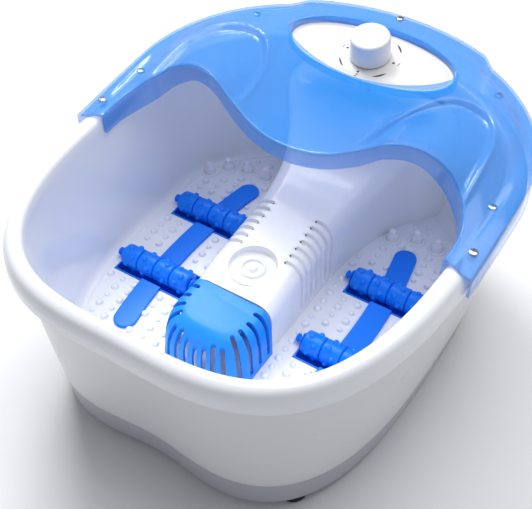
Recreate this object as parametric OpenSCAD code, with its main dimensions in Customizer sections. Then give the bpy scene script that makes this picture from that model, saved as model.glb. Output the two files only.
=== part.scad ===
// Foot spa basin: a white tub with two foot wells, a central air console with a lift-off
// filter cap, four massage rollers in two strips, a tinted splash guard with a rotary switch,
// and the blower, heater and wiring under the tub.
// Millimetres, +Z up. Origin: centre of the footprint at the level the feet stand on.
// The user's heels are at -Y, the control panel is at +Y.

/* [Tub] */
// Half width of the basin opening at the rim
basin_half_w = 143; // [136:1:172]
// Distance from the plan centre to the front inner edge of the rim
basin_front = 231; // [220:1:277]
// Distance from the plan centre to the rear inner edge of the rim
basin_rear = 118; // [114:1:126]
// Height of the foot-well floor above the table
floor_z = 45; // [42:1:52]
// Height of the rim's crest above the table
rim_top_z = 166; // [158:1:180]
// Width of the rolled rim at the sides
rim_w = 17; // [15:0.5:20]
// Height of the rolled rim's outer face
rim_drop = 19; // [15:1:24]
// How much narrower the floor is than the opening, each side
wall_draft = 6; // [5:0.5:7]
// How far the front wall leans out from floor to rim
front_draft = 20; // [18:1:22]
// Tub wall thickness
tub_t = 2.5; // [2:0.1:3]

/* [Casing] */
// Outer casing wall thickness
casing_t = 2.5; // [2:0.1:2.8]
// Height of the darker base band
band_h = 29; // [24:1:31]
// Depth of the concave waist at the foot of the front wall
waist_low = 7.6; // [4:0.2:8]
// Depth of the concave waist at the top of the front wall
waist_top = 2.8; // [1:0.2:4]
// Base plate thickness
base_t = 3; // [2.5:0.1:3.5]
// Height of the rubber feet below the base plate
foot_h = 7; // [6:0.5:9]
// Radius of a rubber foot
foot_r = 11; // [8:0.5:13]

/* [Console and filter cap] */
// Half width of the console at the floor
console_w = 35; // [32:0.5:37]
// Height of the console's top at its front end
console_z = 93.5; // [88:0.5:100]
// Radius of the console's long shoulders
shoulder_r = 14; // [10:0.5:16]
// Radius of the round seat on the console
seat_r = 19; // [14:0.5:19]
// Number of air slots on each side of the console
slot_n = 7; // [4:1:7]
// Pitch of the air slots
slot_pitch = 7.6; // [7:0.1:8]
// Width of an air slot
slot_w = 2.4; // [1.6:0.1:3]
// Wall thickness of the filter cap
cap_t = 2; // [1.6:0.1:2.6]
// Clearance between the filter cap and the console nose
cap_gap = 0.5; // [0.3:0.1:1]

/* [Rollers] */
// Length of a massage roller between its end walls
roller_len = 64; // [52:1:66]
// Radius of a roller's body
roller_r = 9.5; // [8:0.25:10]
// Radius of the roller's stub axles
stub_r = 2.5; // [2:0.1:3]
// Radial running clearance of the stub axles
run_gap = 0.1; // [0.05:0.01:0.1]
// Height a massage knob stands out of the roller
bump_h = 1.8; // [1:0.1:2]
// Distance of the roller centres from the symmetry plane
roller_x = 85.5; // [84:0.5:88]
// Front roller's place along the foot
roller_y_front = -47; // [-50:1:-44]
// Rear roller's place along the foot
roller_y_rear = 30.5; // [28:0.5:34]
// Width of the massage strip
strip_w = 19; // [16:0.5:22]

/* [Guard and controls] */
// Thickness of the splash guard
guard_t = 2.4; // [2:0.1:2.6]
// Height of the guard's arches above the rim
guard_arch = 34; // [28:1:41]
// Clearance between the guard and the rim
guard_gap = 0.6; // [0.4:0.1:1]
// Half length of the oval control panel
panel_a = 70.5; // [66:0.5:72]
// Half width of the oval control panel
panel_b = 28; // [26:0.5:28.5]
// Tilt of the control panel towards the user, degrees
panel_tilt = 10.6; // [8:0.2:12]
// Thickness of the control panel plate
panel_t = 1.6; // [1.2:0.1:2]
// Radius of the knob at its foot
knob_r = 16.5; // [14:0.5:18]
// Height of the knob
knob_h = 20; // [16:0.5:24]
// Radius of the switch shaft
shaft_r = 3; // [2.5:0.1:3.5]

/* [Blower] */
// Radius of the motor can
motor_r = 21; // [18:0.5:22]
// Length of the motor can
motor_len = 40; // [34:1:42]
// Radius of the motor shaft
motor_shaft_r = 2.5; // [2:0.1:3]
// Radius of the blower impeller
impeller_r = 24; // [20:0.5:25]
// Radius of the eccentric weight
weight_r = 16; // [12:0.5:17]
// Height of the motor axis above the table
motor_z = 52; // [50:1:56]

/* [Hidden] */

$fn = 48;
// Points round a plan outline
RING = 84;
// Plan centre along Y: outlines are measured from here
plan_y = 51.6;
// Shift that keeps the origin in the middle of the footprint when the front or rear wall moves
centre_shift = (basin_front - basin_rear - 113) / 2;
// Squareness of the front corners and of the rear end
front_n = 3.5;
rear_n = 2.05;
white = "#F4F5F8";
blue = "#1478F0";

// ---- plan outlines and lofts ----

// Polar superellipse round the plan centre: half width a, front f, rear r, corner squareness nf
// and nr, and a concave waist w deep in the middle of the front
function oval(t, a, f, r, nf, nr, w) =
    let (
        front = sin(t) < 0,
        n = front ? nf : nr,
        d = pow(pow(abs(cos(t)) / a, n) + pow(abs(sin(t)) / (front ? f : r), n), -1 / n),
        x = d * cos(t),
        dip = front ? w * exp(-pow(x / 46, 2)) : 0
    )
    [x, plan_y + d * sin(t) + dip];

// One closed ring at height z; st = [z, a, f, r, nf, nr, w]
function ring(st) = [
    for (i = [0:RING - 1])
        let (p = oval(360 * i / RING, st[1], st[2], st[3], st[4], st[5], st[6]))
        [p[0], p[1], st[0]]
];

// Smooth cubic through the rows of a table [x, value...], read at column c
function spline(x, t, c) =
    let (
        last = len(t) - 1,
        k = max([0, for (i = [0:last - 1]) if (x >= t[i][0]) i]),
        h = t[k + 1][0] - t[k][0],
        s = min(1, max(0, (x - t[k][0]) / h)),
        m0 = k == 0 ? (t[1][c] - t[0][c]) / h
            : (t[k + 1][c] - t[k - 1][c]) / (t[k + 1][0] - t[k - 1][0]),
        m1 = k == last - 1 ? (t[k + 1][c] - t[k][c]) / h
            : (t[k + 2][c] - t[k][c]) / (t[k + 2][0] - t[k][0])
    )
    t[k][c] * (2 * pow(s, 3) - 3 * s * s + 1) + m0 * h * (pow(s, 3) - 2 * s * s + s)
    + t[k + 1][c] * (3 * s * s - 2 * pow(s, 3)) + m1 * h * (pow(s, 3) - s * s);

// Skin over rows of equal length, each counter-clockwise seen from the end the rows start at.
// Each row closes on itself; the first and last rows are capped unless the rows form a loop.
module skin(rows, loop = false) {
    m = len(rows);
    n = len(rows[0]);
    sides = [
        for (j = [0:m - (loop ? 1 : 2)], i = [0:n - 1], k = [0, 1])
            let (
                a = j * n + i,
                b = j * n + (i + 1) % n,
                c = (j + 1) % m * n + (i + 1) % n,
                d = (j + 1) % m * n + i
            )
            k == 0 ? [a, b, d] : [b, c, d]
    ];
    caps = loop ? [] : [[for (i = [n - 1:-1:0]) i], [for (i = [0:n - 1]) (m - 1) * n + i]];
    polyhedron(points = [for (r = rows, p = r) p], faces = concat(sides, caps));
}

// Points of a flat polyline thickened: each point moved by d to its left
function shifted(p, d) = [
    for (i = [0:len(p) - 1])
        let (
            u = p[min(i + 1, len(p) - 1)] - p[max(i - 1, 0)],
            l = norm(u)
        )
        [p[i][0] - u[1] / l * d, p[i][1] + u[0] / l * d]
];

function unit(v) = v / norm(v);

// Round tube of radius r swept along points p
tube_sides = 10;
module tube(p, r) {
    n = len(p);
    skin([
        for (i = [0:n - 1])
            let (
                t = unit(p[min(i + 1, n - 1)] - p[max(i - 1, 0)]),
                side = unit(cross(t, [0.13, 0.05, 1])),
                up = cross(side, t)
            )
            [for (k = [0:tube_sides - 1])
                let (a = -360 * k / tube_sides)
                p[i] + r * (side * cos(a) + up * sin(a))]
    ]);
}
// Smooth route through hand-set points, step samples between two of them
route_steps = 6;
function route(p) =
    let (t = [for (i = [0:len(p) - 1]) [i, p[i][0], p[i][1], p[i][2]]], n = (len(p) - 1) * route_steps)
    [for (i = [0:n]) [for (c = [1:3]) spline(i / route_steps, t, c)]];

// Everything is drawn round the plan centre and then shifted onto the origin
module placed() {
    translate([0, centre_shift, 0])
        children();
}

// ---- tub ----

// Inner wall station at share s from floor (0) to rim (1), moved outwards by d
rear_draft = 10;
function basin_st(s, z, d) = [
    z, basin_half_w - wall_draft * (1 - s) + d, basin_front - front_draft * (1 - s) + d,
    basin_rear - rear_draft * (1 - s) + d, front_n, rear_n, 0
];
// Rim section: [share of the rim's width, share of its drop below the crest]
rim_roll = [[0, 0.18], [0.1, 0.07], [0.3, 0], [0.55, 0.03], [0.78, 0.14], [0.93, 0.34], [1, 0.63], [1, 1]];
rim_front_share = 0.87;
function rim_st(k, drop, inset) = [
    rim_top_z - drop, basin_half_w + rim_w * k - inset,
    basin_front + rim_w * rim_front_share * k - inset, basin_rear + rim_w * rim_front_share * k - inset,
    front_n - 0.3 * k, rear_n, 1.5 * k
];
basin_h = rim_top_z - rim_roll[0][1] * rim_drop - floor_z;
floor_fillet = 8;
tub_rows = [
    for (a = [-90:22.5:0])
        ring(basin_st(0, floor_z + floor_fillet * (1 + sin(a)), -floor_fillet * (1 - cos(a)))),
    for (s = [0.3, 0.6, 0.9]) ring(basin_st(s, floor_z + basin_h * s, 0)),
    for (p = rim_roll) ring(rim_st(p[0], p[1] * rim_drop, 0)),
    for (i = [len(rim_roll) - 1:-1:3])
        ring(rim_st(rim_roll[i][0], rim_roll[i][1] * rim_drop + (i < 6 ? tub_t : 0), tub_t)),
    ring(rim_st(0.25, tub_t, tub_t)),
    for (s = [0.9, 0.5, 0.1]) ring(basin_st(s, floor_z + basin_h * s, tub_t)),
    for (a = [0, -45, -90])
        ring(basin_st(0, floor_z - tub_t + floor_fillet * (1 + sin(a)),
            tub_t - floor_fillet * (1 - cos(a))))
];

// Console rows: [y, half width, height of the top]
console_rows = [
    [-64, console_w - 1, console_z], [-40, console_w, console_z + 2],
    [0, console_w, console_z + 5], [24, console_w, console_z + 7.5],
    [50, console_w + 3, console_z + 10], [75, console_w + 8, console_z + 15],
    [95, console_w + 15, console_z + 26], [112, console_w + 23, console_z + 40],
    [122, console_w + 31, console_z + 47.5], [131, console_w + 37, console_z + 50],
    [180, console_w + 52, console_z + 50]
];
nose_y = console_rows[0][0];
// Space inside the tub's walls from well below the floor up to the rim, moved outwards by d
module inside_walls(d) {
    skin([
        for (z = [rim_top_z, floor_z - 12])
            let (s = (z - floor_z) / basin_h)
            ring(basin_st(s, z, d))
    ]);
}
// Cross section of the console at y, shrunk by d and starting at height low
function console_section(y, w, top, d, low) =
    let (
        r = shoulder_r - d,
        half = [
            [w - d, low],
            for (a = [0:22.5:90]) [w - shoulder_r + r * cos(a), top - shoulder_r + r * sin(a)]
        ],
        n = len(half)
    )
    [
        for (p = half) [p[0], y, p[1]],
        for (i = [n - 1:-1:0]) [-half[i][0], y, half[i][1]]
    ];
module console_body(d, low, reach) {
    intersection() {
        skin([for (i = [0:len(console_rows) - 1])
            let (c = console_rows[i])
            console_section(c[0] + (i == 0 ? d : 0), c[1], c[2], d, low)]);
        inside_walls(reach);
    }
}

seat_y = -37;
seat_depth = 4;
seat_z = console_z + 2.2;
seat_floor_z = seat_z - seat_depth;
slot_y0 = -22.5;
slot_foot_z = floor_z + 6;
groove_depth = 2;
air_hole_r = 1;
function slot_top_z(y) = console_z + 5 + 0.1 * y;
// One groove: up the console's side, round the shoulder and onto the top
module air_slot(y, side) {
    turn_z = slot_top_z(y) - shoulder_r;
    deep = shoulder_r - groove_depth;
    clear = shoulder_r + 3;
    mirror([side < 0 ? 1 : 0, 0, 0])
        translate([console_w - shoulder_r, y + slot_w / 2, turn_z])
            rotate([90, 0, 0])
                linear_extrude(slot_w)
                    polygon(concat(
                        [[deep, slot_foot_z - turn_z], [clear, slot_foot_z - turn_z]],
                        [for (a = [0:15:90]) clear * [cos(a), sin(a)]],
                        [[-1.3, clear], [-1.3, deep]],
                        [for (a = [90:-15:0]) deep * [cos(a), sin(a)]]
                    ));
}
module air_hole(y, side) {
    translate([side * (console_w - shoulder_r + 0.7), y, slot_top_z(y) - 6.3])
        cylinder(r = air_hole_r, h = 5.5);
}

nose_hole_r = 16;
nose_hole_z = floor_z + 25;
deck_hole_r = 9;
deck_hole_y = 132;

// Roller pockets sunk in the floor
roller_z = floor_z + 5;
tray_wall = 1.5;
end_gap = 1;
bump_gap = 2;
tray_half_x = roller_len / 2 + end_gap + tray_wall;
tray_half_y = roller_r + bump_h + bump_gap + tray_wall;
tray_low_z = roller_z - roller_r - bump_h - bump_gap - tray_wall;
pocket_gap = 0.4;
roller_spots = [[-1, 0], [1, 0], [-1, 1], [1, 1]];
function roller_y(k) = k == 0 ? roller_y_front : roller_y_rear;
module pocket(d, low, h) {
    for (p = roller_spots)
        translate([p[0] * roller_x, roller_y(p[1]), low + h / 2])
            cube([2 * (tray_half_x + pocket_gap + d), 2 * (tray_half_y + pocket_gap + d), h],
                center = true);
}

module tub() placed() color(white) {
    difference() {
        union() {
            skin(tub_rows);
            console_body(0, floor_z - 1, 1.2);
            pocket(tub_t, tray_low_z - pocket_gap - tub_t, floor_z - tray_low_z + pocket_gap + 1);
        }
        console_body(3, floor_z - tub_t - 4, -3);
        pocket(0, tray_low_z - pocket_gap, 20);
        translate([0, seat_y, seat_floor_z])
            cylinder(r = seat_r, h = 20);
        for (i = [0:slot_n - 1], side = [-1, 1]) {
            air_slot(slot_y0 + i * slot_pitch, side);
            air_hole(slot_y0 + i * slot_pitch, side);
        }
        translate([0, nose_y - 10, nose_hole_z])
            rotate([-90, 0, 0])
                cylinder(r = nose_hole_r, h = 20);
        translate([0, deck_hole_y, console_z + 30])
            cylinder(r = deck_hole_r, h = 30);
    }
    // Round seat: floor, raised ring and centre pin
    translate([0, seat_y, seat_floor_z - 2]) {
        cylinder(r = seat_r + 1, h = 2);
        difference() {
            cylinder(r = 10.5, h = 4.2);
            translate([0, 0, 2])
                cylinder(r = 8.2, h = 5);
        }
        cylinder(r = 3.5, h = 5.5);
    }
}

// ---- outer casing and base ----

// Casing outline at height z, moved outwards by d
casing_draft = 19.3;
function casing_st(z, d) =
    let (s = (z - foot_h) / (rim_top_z - rim_drop - foot_h))
    [
        z, basin_half_w - 6 + (casing_draft * s) + d, basin_front - 7.6 + 14.5 * s + d,
        basin_rear - 2 + 13 * s + d, 3.57 - 0.4 * s, rear_n, waist_low + (waist_top - waist_low) * s
    ];
casing_top = rim_top_z - rim_drop + 3;
band_top = foot_h + band_h;
tongue_h = 4;
band_inset = 0.5;
band_t = 2;
tongue_gap = 0.2;
tongue_t = 1.2;

module outer_casing() placed() color("#EDEEF2") {
    tongue_d = -band_inset - band_t - tongue_gap;
    skin([
        ring(casing_st(band_top, tongue_d)),
        ring(casing_st(band_top - tongue_h, tongue_d)),
        ring(casing_st(band_top - tongue_h, tongue_d - tongue_t)),
        ring(casing_st(band_top + 3, tongue_d - tongue_t)),
        for (z = [band_top + 6, band_top + 40, band_top + 80, casing_top])
            ring(casing_st(z, -casing_t)),
        for (z = [casing_top, band_top + 80, band_top + 40, band_top]) ring(casing_st(z, 0))
    ], loop = true);
}

// Places of the feet, the base screws and the gland
feet_at = [[-96, -134], [96, -134], [-88, 106], [88, 106]];
foot_stem_r = 3;
base_screw_at = [[-60, -140], [60, -140], [-112, -20], [112, -20], [-50, 140], [50, 140]];
screw_hole_r = 1.9;
gland_z = foot_h + 14;
gland_y = plan_y + basin_rear - 2;
gland_hole_r = 6;

module base_shell() placed() color("#B9BCC2") {
    difference() {
        skin([
            ring(casing_st(foot_h + base_t, -band_inset - band_t)),
            ring(casing_st(band_top, -band_inset - band_t)),
            ring(casing_st(band_top, -band_inset)),
            ring(casing_st(foot_h + 3, -band_inset)),
            ring(casing_st(foot_h + 1, -band_inset - 0.7)),
            ring(casing_st(foot_h, -band_inset - 2.5))
        ]);
        for (p = base_screw_at)
            translate([p[0], p[1], foot_h - 1])
                cylinder(r = screw_hole_r, h = base_t + 2);
        for (p = feet_at)
            translate([p[0], p[1], foot_h - 1])
                cylinder(r = foot_stem_r + 0.1, h = base_t + 2);
        translate([0, gland_y - 20, gland_z])
            rotate([-90, 0, 0])
                cylinder(r = gland_hole_r, h = 40);
    }
}

module rubber_feet() placed() color("#17181A") {
    for (p = feet_at)
        translate([p[0], p[1], 0]) {
            rotate_extrude()
                polygon([[0, 0], [foot_r - 1.5, 0], [foot_r - 0.5, 0.5], [foot_r, 1.6],
                    [foot_r - 0.8, foot_h], [0, foot_h]]);
            cylinder(r = foot_stem_r, h = foot_h + base_t);
            translate([0, 0, foot_h + base_t])
                cylinder(r1 = foot_stem_r + 1, r2 = foot_stem_r - 0.5, h = 2);
        }
}

module base_screws() placed() color("#9A9CA0") {
    for (p = base_screw_at)
        translate([p[0], p[1], 0]) {
            translate([0, 0, foot_h - 1.8])
                rotate_extrude()
                    polygon([[0, 0.6], [2.2, 0], [3.2, 0.4], [3.6, 1.8], [0, 1.8]]);
            translate([0, 0, foot_h])
                cylinder(r = screw_hole_r - 0.3, h = 11);
        }
}

module cord_gland() placed() color("#1A1B1D") {
    translate([0, gland_y, gland_z])
        rotate([-90, 0, 0])
            difference() {
                translate([0, 0, -7])
                    rotate_extrude()
                        polygon([[0, 0], [7.5, 0], [7.5, 3], [gland_hole_r - 0.2, 3.4],
                            [gland_hole_r - 0.2, 7.4], [7.8, 7.8], [7.4, 10.5], [0, 10.5]]);
                translate([0, 0, -8])
                    cylinder(r = gland_bore_r, h = 20);
            }
}
gland_bore_r = 3.6;

// ---- splash guard and controls ----

// Rows from the guard's side tip (0) to the middle of its rear (1):
// [u, x and y of the inner edge, then heights above the rim's crest: flange bottom, lip,
//  shoulder, and the crown at a quarter, half and three quarters of the way to the lip].
// The last row mirrors the one before the middle, so the guard crosses the middle smoothly.
guard_rows = [
    [0.00, 138.7, -27, -13, 4.0, 3.6, 3.8, 3.9, 4.0],
    [0.14, 139.2, -8, -12.5, 6, 5.2, 5.5, 5.7, 5.9],
    [0.26, 135, 8, -11, 10, 8, 9, 9.6, 10],
    [0.36, 126, 21, -5, 17, 13, 15, 16.5, 17],
    [0.46, 112, 28, 8, 27, 19, 22, 25, 27],
    [0.58, 92, 28, 20, 34, 23, 25.5, 28.5, 32],
    [0.70, 71, 22, 20, 33.5, 23.5, 24, 25.5, 30],
    [0.80, 52, 16, 9, 24, 23, 21, 19.5, 21.5],
    [0.90, 28, 8.5, 1.5, 15, 22.5, 18, 14.5, 13.5],
    [1.00, 0, 5, -1, 12.5, 22.5, 16.8, 12.8, 11.5],
    [1.10, -28, 8.5, 1.5, 15, 22.5, 18, 14.5, 13.5]
];
// Half width of the opening that the rows' places across are written for
guard_rows_w = 143;
guard_steps = 36;
guard_tip_angle = -27.5;
guard_skirt = guard_t + guard_gap;
rear_bulge = 6.9;
rear_bulge_half = 92;
skirt_low = 16;
ledge_w = 12;
shoulder_w = 20;
// The crown's heights grow with the arch, the flange and the tips stay on the rim
function lift(h) = h <= 4 ? h : 4 + (h - 4) * (guard_arch - 4) / 30;
function ease(s) = let (c = min(1, max(0, s))) c * c * (3 - 2 * c);
function guard_outer(a) =
    let (
        share = rim_w * rim_front_share + guard_skirt,
        p = oval(a, basin_half_w + rim_w + guard_skirt, basin_front + share, basin_rear + share,
            front_n, rear_n, 0)
    )
    [p[0], p[1] + (p[1] > plan_y ? rear_bulge * ease((rear_bulge_half - abs(p[0])) / 14) : 0)];
// The guard's ledge lies on the rim at the tips and rises evenly towards the rear
guard_tip_y = guard_outer(guard_tip_angle)[1];
function guard_ledge(y) = 0.45 + 0.097 * (y - guard_tip_y);
// Section of the guard at v, 0 at the right tip, 1 at the rear, 2 at the left tip
function guard_section(v) =
    let (
        u = v <= 1 ? v : 2 - v,
        side = v <= 1 ? 1 : -1,
        g = [for (c = [0:8]) c == 0 ? u : spline(u, guard_rows, c)],
        o = guard_outer(guard_tip_angle + (90 - guard_tip_angle) * u),
        e = [g[1] * basin_half_w / guard_rows_w, g[2]],
        run = norm(e - o),
        w = min(1, run / 60),
        ledge = guard_ledge(o[1]),
        lw = ledge_w * (0.55 + 0.45 * w),
        sw = lw + (shoulder_w - ledge_w) * (0.45 + 0.55 * w),
        lip = run - 1.5,
        outer = [
            [0, -skirt_low], [0, ledge - 2], [1.5, ledge], [lw, ledge + 0.4],
            [sw, max(lift(g[5]), ledge + 0.8)],
            for (k = [1:3]) [sw + (lip - sw) * k / 4, lift(g[5 + k])],
            [lip, lift(g[4])], [run, lift(g[4]) - 2], [run, g[3]]
        ],
        inner = shifted(outer, -guard_t),
        flat = concat(outer, [for (i = [len(inner) - 1:-1:0]) inner[i]]),
        dir = (e - o) / run
    )
    [for (p = flat) [side * (o[0] + dir[0] * p[0]), o[1] + dir[1] * p[0], rim_top_z + p[1]]];

// Oval control plate and its seat, tilted towards the user
panel_y = 135;
panel_z = rim_top_z + lift(16.8) - 0.8;
cup_wall = 2.4;
cup_gap = 0.3;
cup_up = 4;
bush_r = 4.5;
switch_r = 14;
switch_h = 15;
module on_panel() {
    translate([0, panel_y, panel_z])
        rotate([panel_tilt, 0, 0])
            children();
}
module oval_plate(d, z, h) {
    translate([0, 0, z])
        linear_extrude(h)
            polygon([for (i = [0:71]) [(panel_a + d) * cos(5 * i), (panel_b + d) * sin(5 * i)]]);
}

module splash_guard() placed() color("#3FA0FF") {
    difference() {
        skin([for (i = [0:2 * guard_steps]) guard_section(i / guard_steps)]);
        on_panel()
            oval_plate(cup_gap + cup_wall / 2, -20, 40);
        for (p = guard_screw_at)
            translate([p[0], p[1], rim_top_z - 15])
                cylinder(r = guard_hole_r, h = 60, $fn = 24);
    }
    on_panel() {
        difference() {
            oval_plate(cup_gap + cup_wall, -panel_t - guard_t, panel_t + guard_t + cup_up);
            oval_plate(cup_gap, -panel_t, 20);
            translate([0, 0, -20])
                cylinder(r = bush_r + 0.2, h = 40);
        }
    }
}
guard_hole_r = 2;
// Screw places: [angle round the plan centre, share of the rim's width]
guard_screw_spots = [[90, 1.1], [38.3, 0.22], [-8.3, 0.3], [-22.6, 0.62]];
guard_screw_at = [
    for (s = guard_screw_spots, m = s[0] == 90 ? [1] : [-1, 1])
        let (r = rim_st(s[1], 0, 0), p = oval(s[0], r[1], r[2], r[3], r[4], r[5], 0))
        [m * p[0], p[1]]
];
function guard_screw_z(p) = rim_top_z + 0.4 + guard_ledge(p[1]);

module guard_screws() placed() color("#C9CCD0") {
    for (p = guard_screw_at)
        translate([p[0], p[1], guard_screw_z(p)]) {
            rotate_extrude()
                polygon([[0, 0], [3.4, 0], [3.2, 1.1], [2, 1.8], [0, 2]]);
            translate([0, 0, -12])
                cylinder(r = guard_hole_r - 0.3, h = 12);
        }
}

module control_panel() placed() color("#DDDAD6") {
    on_panel()
        difference() {
            oval_plate(0, -panel_t, panel_t);
            translate([0, 0, -panel_t - 1])
                cylinder(r = bush_r + 0.2, h = panel_t + 2);
        }
}

knob_lift = 0.6;
knob_wall = 2.5;
nut_h = 2.5;
module control_knob() placed() color(white) {
    on_panel()
        translate([0, 0, knob_lift])
            difference() {
                union() {
                    rotate_extrude()
                        polygon(concat(
                            [[0, 0], [knob_r - 0.6, 0], [knob_r, 0.8]],
                            [for (a = [0:15:90])
                                [knob_r - 4.5 + 3 * cos(a), knob_h - 3 + 3 * sin(a)]],
                            [[0, knob_h]]
                        ));
                    translate([-1.2, -knob_r + 4, knob_h - 2])
                        cube([2.4, knob_r * 2 - 8, 2.8]);
                }
                difference() {
                    translate([0, 0, -1])
                        cylinder(r = knob_r - knob_wall, h = 7);
                    translate([0, 0, nut_h + 1.2])
                        cylinder(r = shaft_r + 2.5, h = 10);
                }
                translate([0, 0, -1])
                    cylinder(r = shaft_r + 0.03, h = shaft_top + 1.2);
            }
}
shaft_top = knob_h - 5;
shaft_in = 12;
module switch_shaft() placed() color("#C8A55A") {
    on_panel()
        translate([0, 0, knob_lift - shaft_in])
            cylinder(r = shaft_r, h = shaft_in + shaft_top);
}
module switch_body() placed() color("#2B2C30") {
    on_panel()
        difference() {
            union() {
                translate([0, 0, -panel_t - guard_t - switch_h])
                    cylinder(r = switch_r, h = switch_h);
                translate([0, 0, -panel_t - guard_t - 1])
                    cylinder(r = bush_r, h = panel_t + guard_t + 1 + nut_h);
                for (i = [0:4])
                    translate([9 * cos(72 * i), 9 * sin(72 * i), -panel_t - guard_t - switch_h - 5])
                        cube([0.8, 3, 12], center = true);
            }
            translate([0, 0, knob_lift - shaft_in - 0.5])
                cylinder(r = shaft_r + run_gap, h = 40);
        }
}
module switch_nut() placed() color("#B8BABF") {
    on_panel()
        difference() {
            cylinder(r = 7.5, h = nut_h - 0.1, $fn = 6);
            translate([0, 0, -1])
                cylinder(r = bush_r + 0.05, h = 6);
        }
}

// ---- massage strips and rollers ----

strip_t = 2.5;
strip_y = (roller_y_front + roller_y_rear) / 2 - 4.75;
strip_half = 90;
strip_bend_r = 475;
strip_float = 0.05;
strip_top_z = floor_z + strip_float + strip_t;
ear_t = 2.2;
ear_r = 5.5;
// One strip for the right foot: curved blade, two trays with bearing ears
module massage_strip() {
    end_angle = asin(strip_half / strip_bend_r);
    difference() {
        union() {
            translate([roller_x - strip_bend_r, strip_y, floor_z + strip_float]) {
                rotate([0, 0, -end_angle])
                    rotate_extrude(angle = 2 * end_angle, $fn = 240)
                        translate([strip_bend_r - strip_w / 2, 0])
                            square([strip_w, strip_t]);
                for (s = [-1, 1])
                    rotate([0, 0, s * end_angle])
                        translate([strip_bend_r, 0, 0])
                            cylinder(r = strip_w / 2, h = strip_t);
            }
            for (k = [0, 1])
                translate([roller_x, roller_y(k), 0]) {
                    translate([-tray_half_x, -tray_half_y, tray_low_z])
                        cube([2 * tray_half_x, 2 * tray_half_y, strip_top_z - tray_low_z]);
                    for (s = [-1, 1])
                        translate([s * (tray_half_x - ear_t / 2), 0, 0])
                            ear();
                }
        }
        for (k = [0, 1])
            translate([roller_x, roller_y(k), 0]) {
                translate([-tray_half_x + tray_wall, -tray_half_y + tray_wall, tray_low_z + tray_wall])
                    cube([2 * (tray_half_x - tray_wall), 2 * (tray_half_y - tray_wall), 40]);
                translate([-tray_half_x - 5, 0, roller_z])
                    rotate([0, 90, 0])
                        cylinder(r = stub_r + run_gap, h = 2 * tray_half_x + 10);
            }
    }
}
module ear() {
    translate([-ear_t / 2, 0, roller_z])
        rotate([0, 90, 0])
            cylinder(r = ear_r, h = ear_t);
    translate([-ear_t / 2, -ear_r, tray_low_z])
        cube([ear_t, 2 * ear_r, roller_z - tray_low_z]);
}
module massage_strip_right() placed() color(blue) massage_strip();
module massage_strip_left() placed() color(blue) mirror([1, 0, 0]) massage_strip();

// Roller: four barrels between three grooves, with a row of knobs round each barrel, staggered
// from barrel to barrel
barrel_n = 4;
knobs_round = 8;
stub_out = 7.3;
head_t = 2.4;
module roller(side, k) {
    pitch = roller_len / barrel_n;
    translate([side * roller_x, roller_y(k), roller_z])
        rotate([0, 90, 0]) {
            rotate_extrude()
                polygon(concat(
                    [[0, -roller_len / 2]],
                    [for (b = [0:barrel_n - 1], p = [[-1.8, 0], [-1, 0.35], [0, 0.5], [0, 0.92], [-1, 1]])
                        [roller_r + p[0], -roller_len / 2 + pitch * (b + p[1] * 0.96 + 0.02)]],
                    [[0, roller_len / 2]]
                ));
            translate([0, 0, -roller_len / 2 - stub_out])
                cylinder(r = stub_r, h = roller_len + 2 * stub_out);
            for (s = [-1, 1])
                translate([0, 0, s * (roller_len / 2 + stub_out - head_t / 2)])
                    cylinder(r = stub_r + 0.9, h = head_t, center = true);
            for (b = [0:barrel_n - 1], i = [0:knobs_round - 1])
                rotate([0, 0, (i + b / 2) * 360 / knobs_round])
                    translate([roller_r - 1.4, 0, -roller_len / 2 + pitch * (b + 0.48)])
                        sphere(r = bump_h + 1.4, $fn = 20);
        }
}
module roller_front_left() placed() color(blue) roller(-1, 0);
module roller_front_right() placed() color(blue) roller(1, 0);
module roller_rear_left() placed() color(blue) roller(-1, 1);
module roller_rear_right() placed() color(blue) roller(1, 1);

// ---- filter cap and lamp ----

cap_w = console_w + 2;
cap_front = -116;
cap_back = nose_y - cap_gap;
cap_z = console_z - 5.5;
cap_slot_w = 3.4;
cap_slot_low = floor_z + 5;
// Cap sections from the foot to the plateau: [height, half width, front, corner radius]
cap_rows = [
    [floor_z + 0.3, cap_w, cap_front, 9], [floor_z + 22, cap_w - 0.5, cap_front + 1, 11],
    [cap_z - 10, cap_w - 2.5, cap_front + 5, 15], [cap_z - 4, cap_w - 6, cap_front + 11, 18],
    [cap_z - 1, cap_w - 10, cap_front + 18, 20], [cap_z, cap_w - 14, cap_front + 24, 20]
];
// One section shrunk by d, open at the back
function cap_section(row, d, low, back) =
    let (w = row[1] - d, f = row[2] + d, r = row[3] - d, z = max(row[0] - d, low))
    concat(
        [[-w, back, z]],
        [for (a = [180:15:270]) [-w + r + r * cos(a), f + r + r * sin(a), z]],
        [for (a = [270:15:360]) [w - r + r * cos(a), f + r + r * sin(a), z]],
        [[w, back, z]]
    );
module cap_form(d, low, back) {
    skin([for (i = [len(cap_rows) - 1:-1:0]) cap_section(cap_rows[i], d, low + i * 0.5, back)]);
}
module filter_cap() placed() color("#1E96FF") {
    slot_mid = (cap_slot_low + cap_z - 3) / 2;
    slot_h = cap_z - 3 - cap_slot_low;
    difference() {
        cap_form(0, floor_z, cap_back);
        cap_form(cap_t, floor_z - 1, cap_back + 1);
        for (i = [0:3], side = [-1, 1])
            translate([side * (cap_w - 5), cap_back - 7 - 8.5 * i, slot_mid])
                cube([20, cap_slot_w, slot_h], center = true);
        for (i = [-3:3])
            translate([0, cap_front + 34, 0])
                rotate([0, 0, i * 16])
                    translate([0, -32, slot_mid])
                        cube([cap_slot_w, 24, slot_h], center = true);
    }
}

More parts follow.
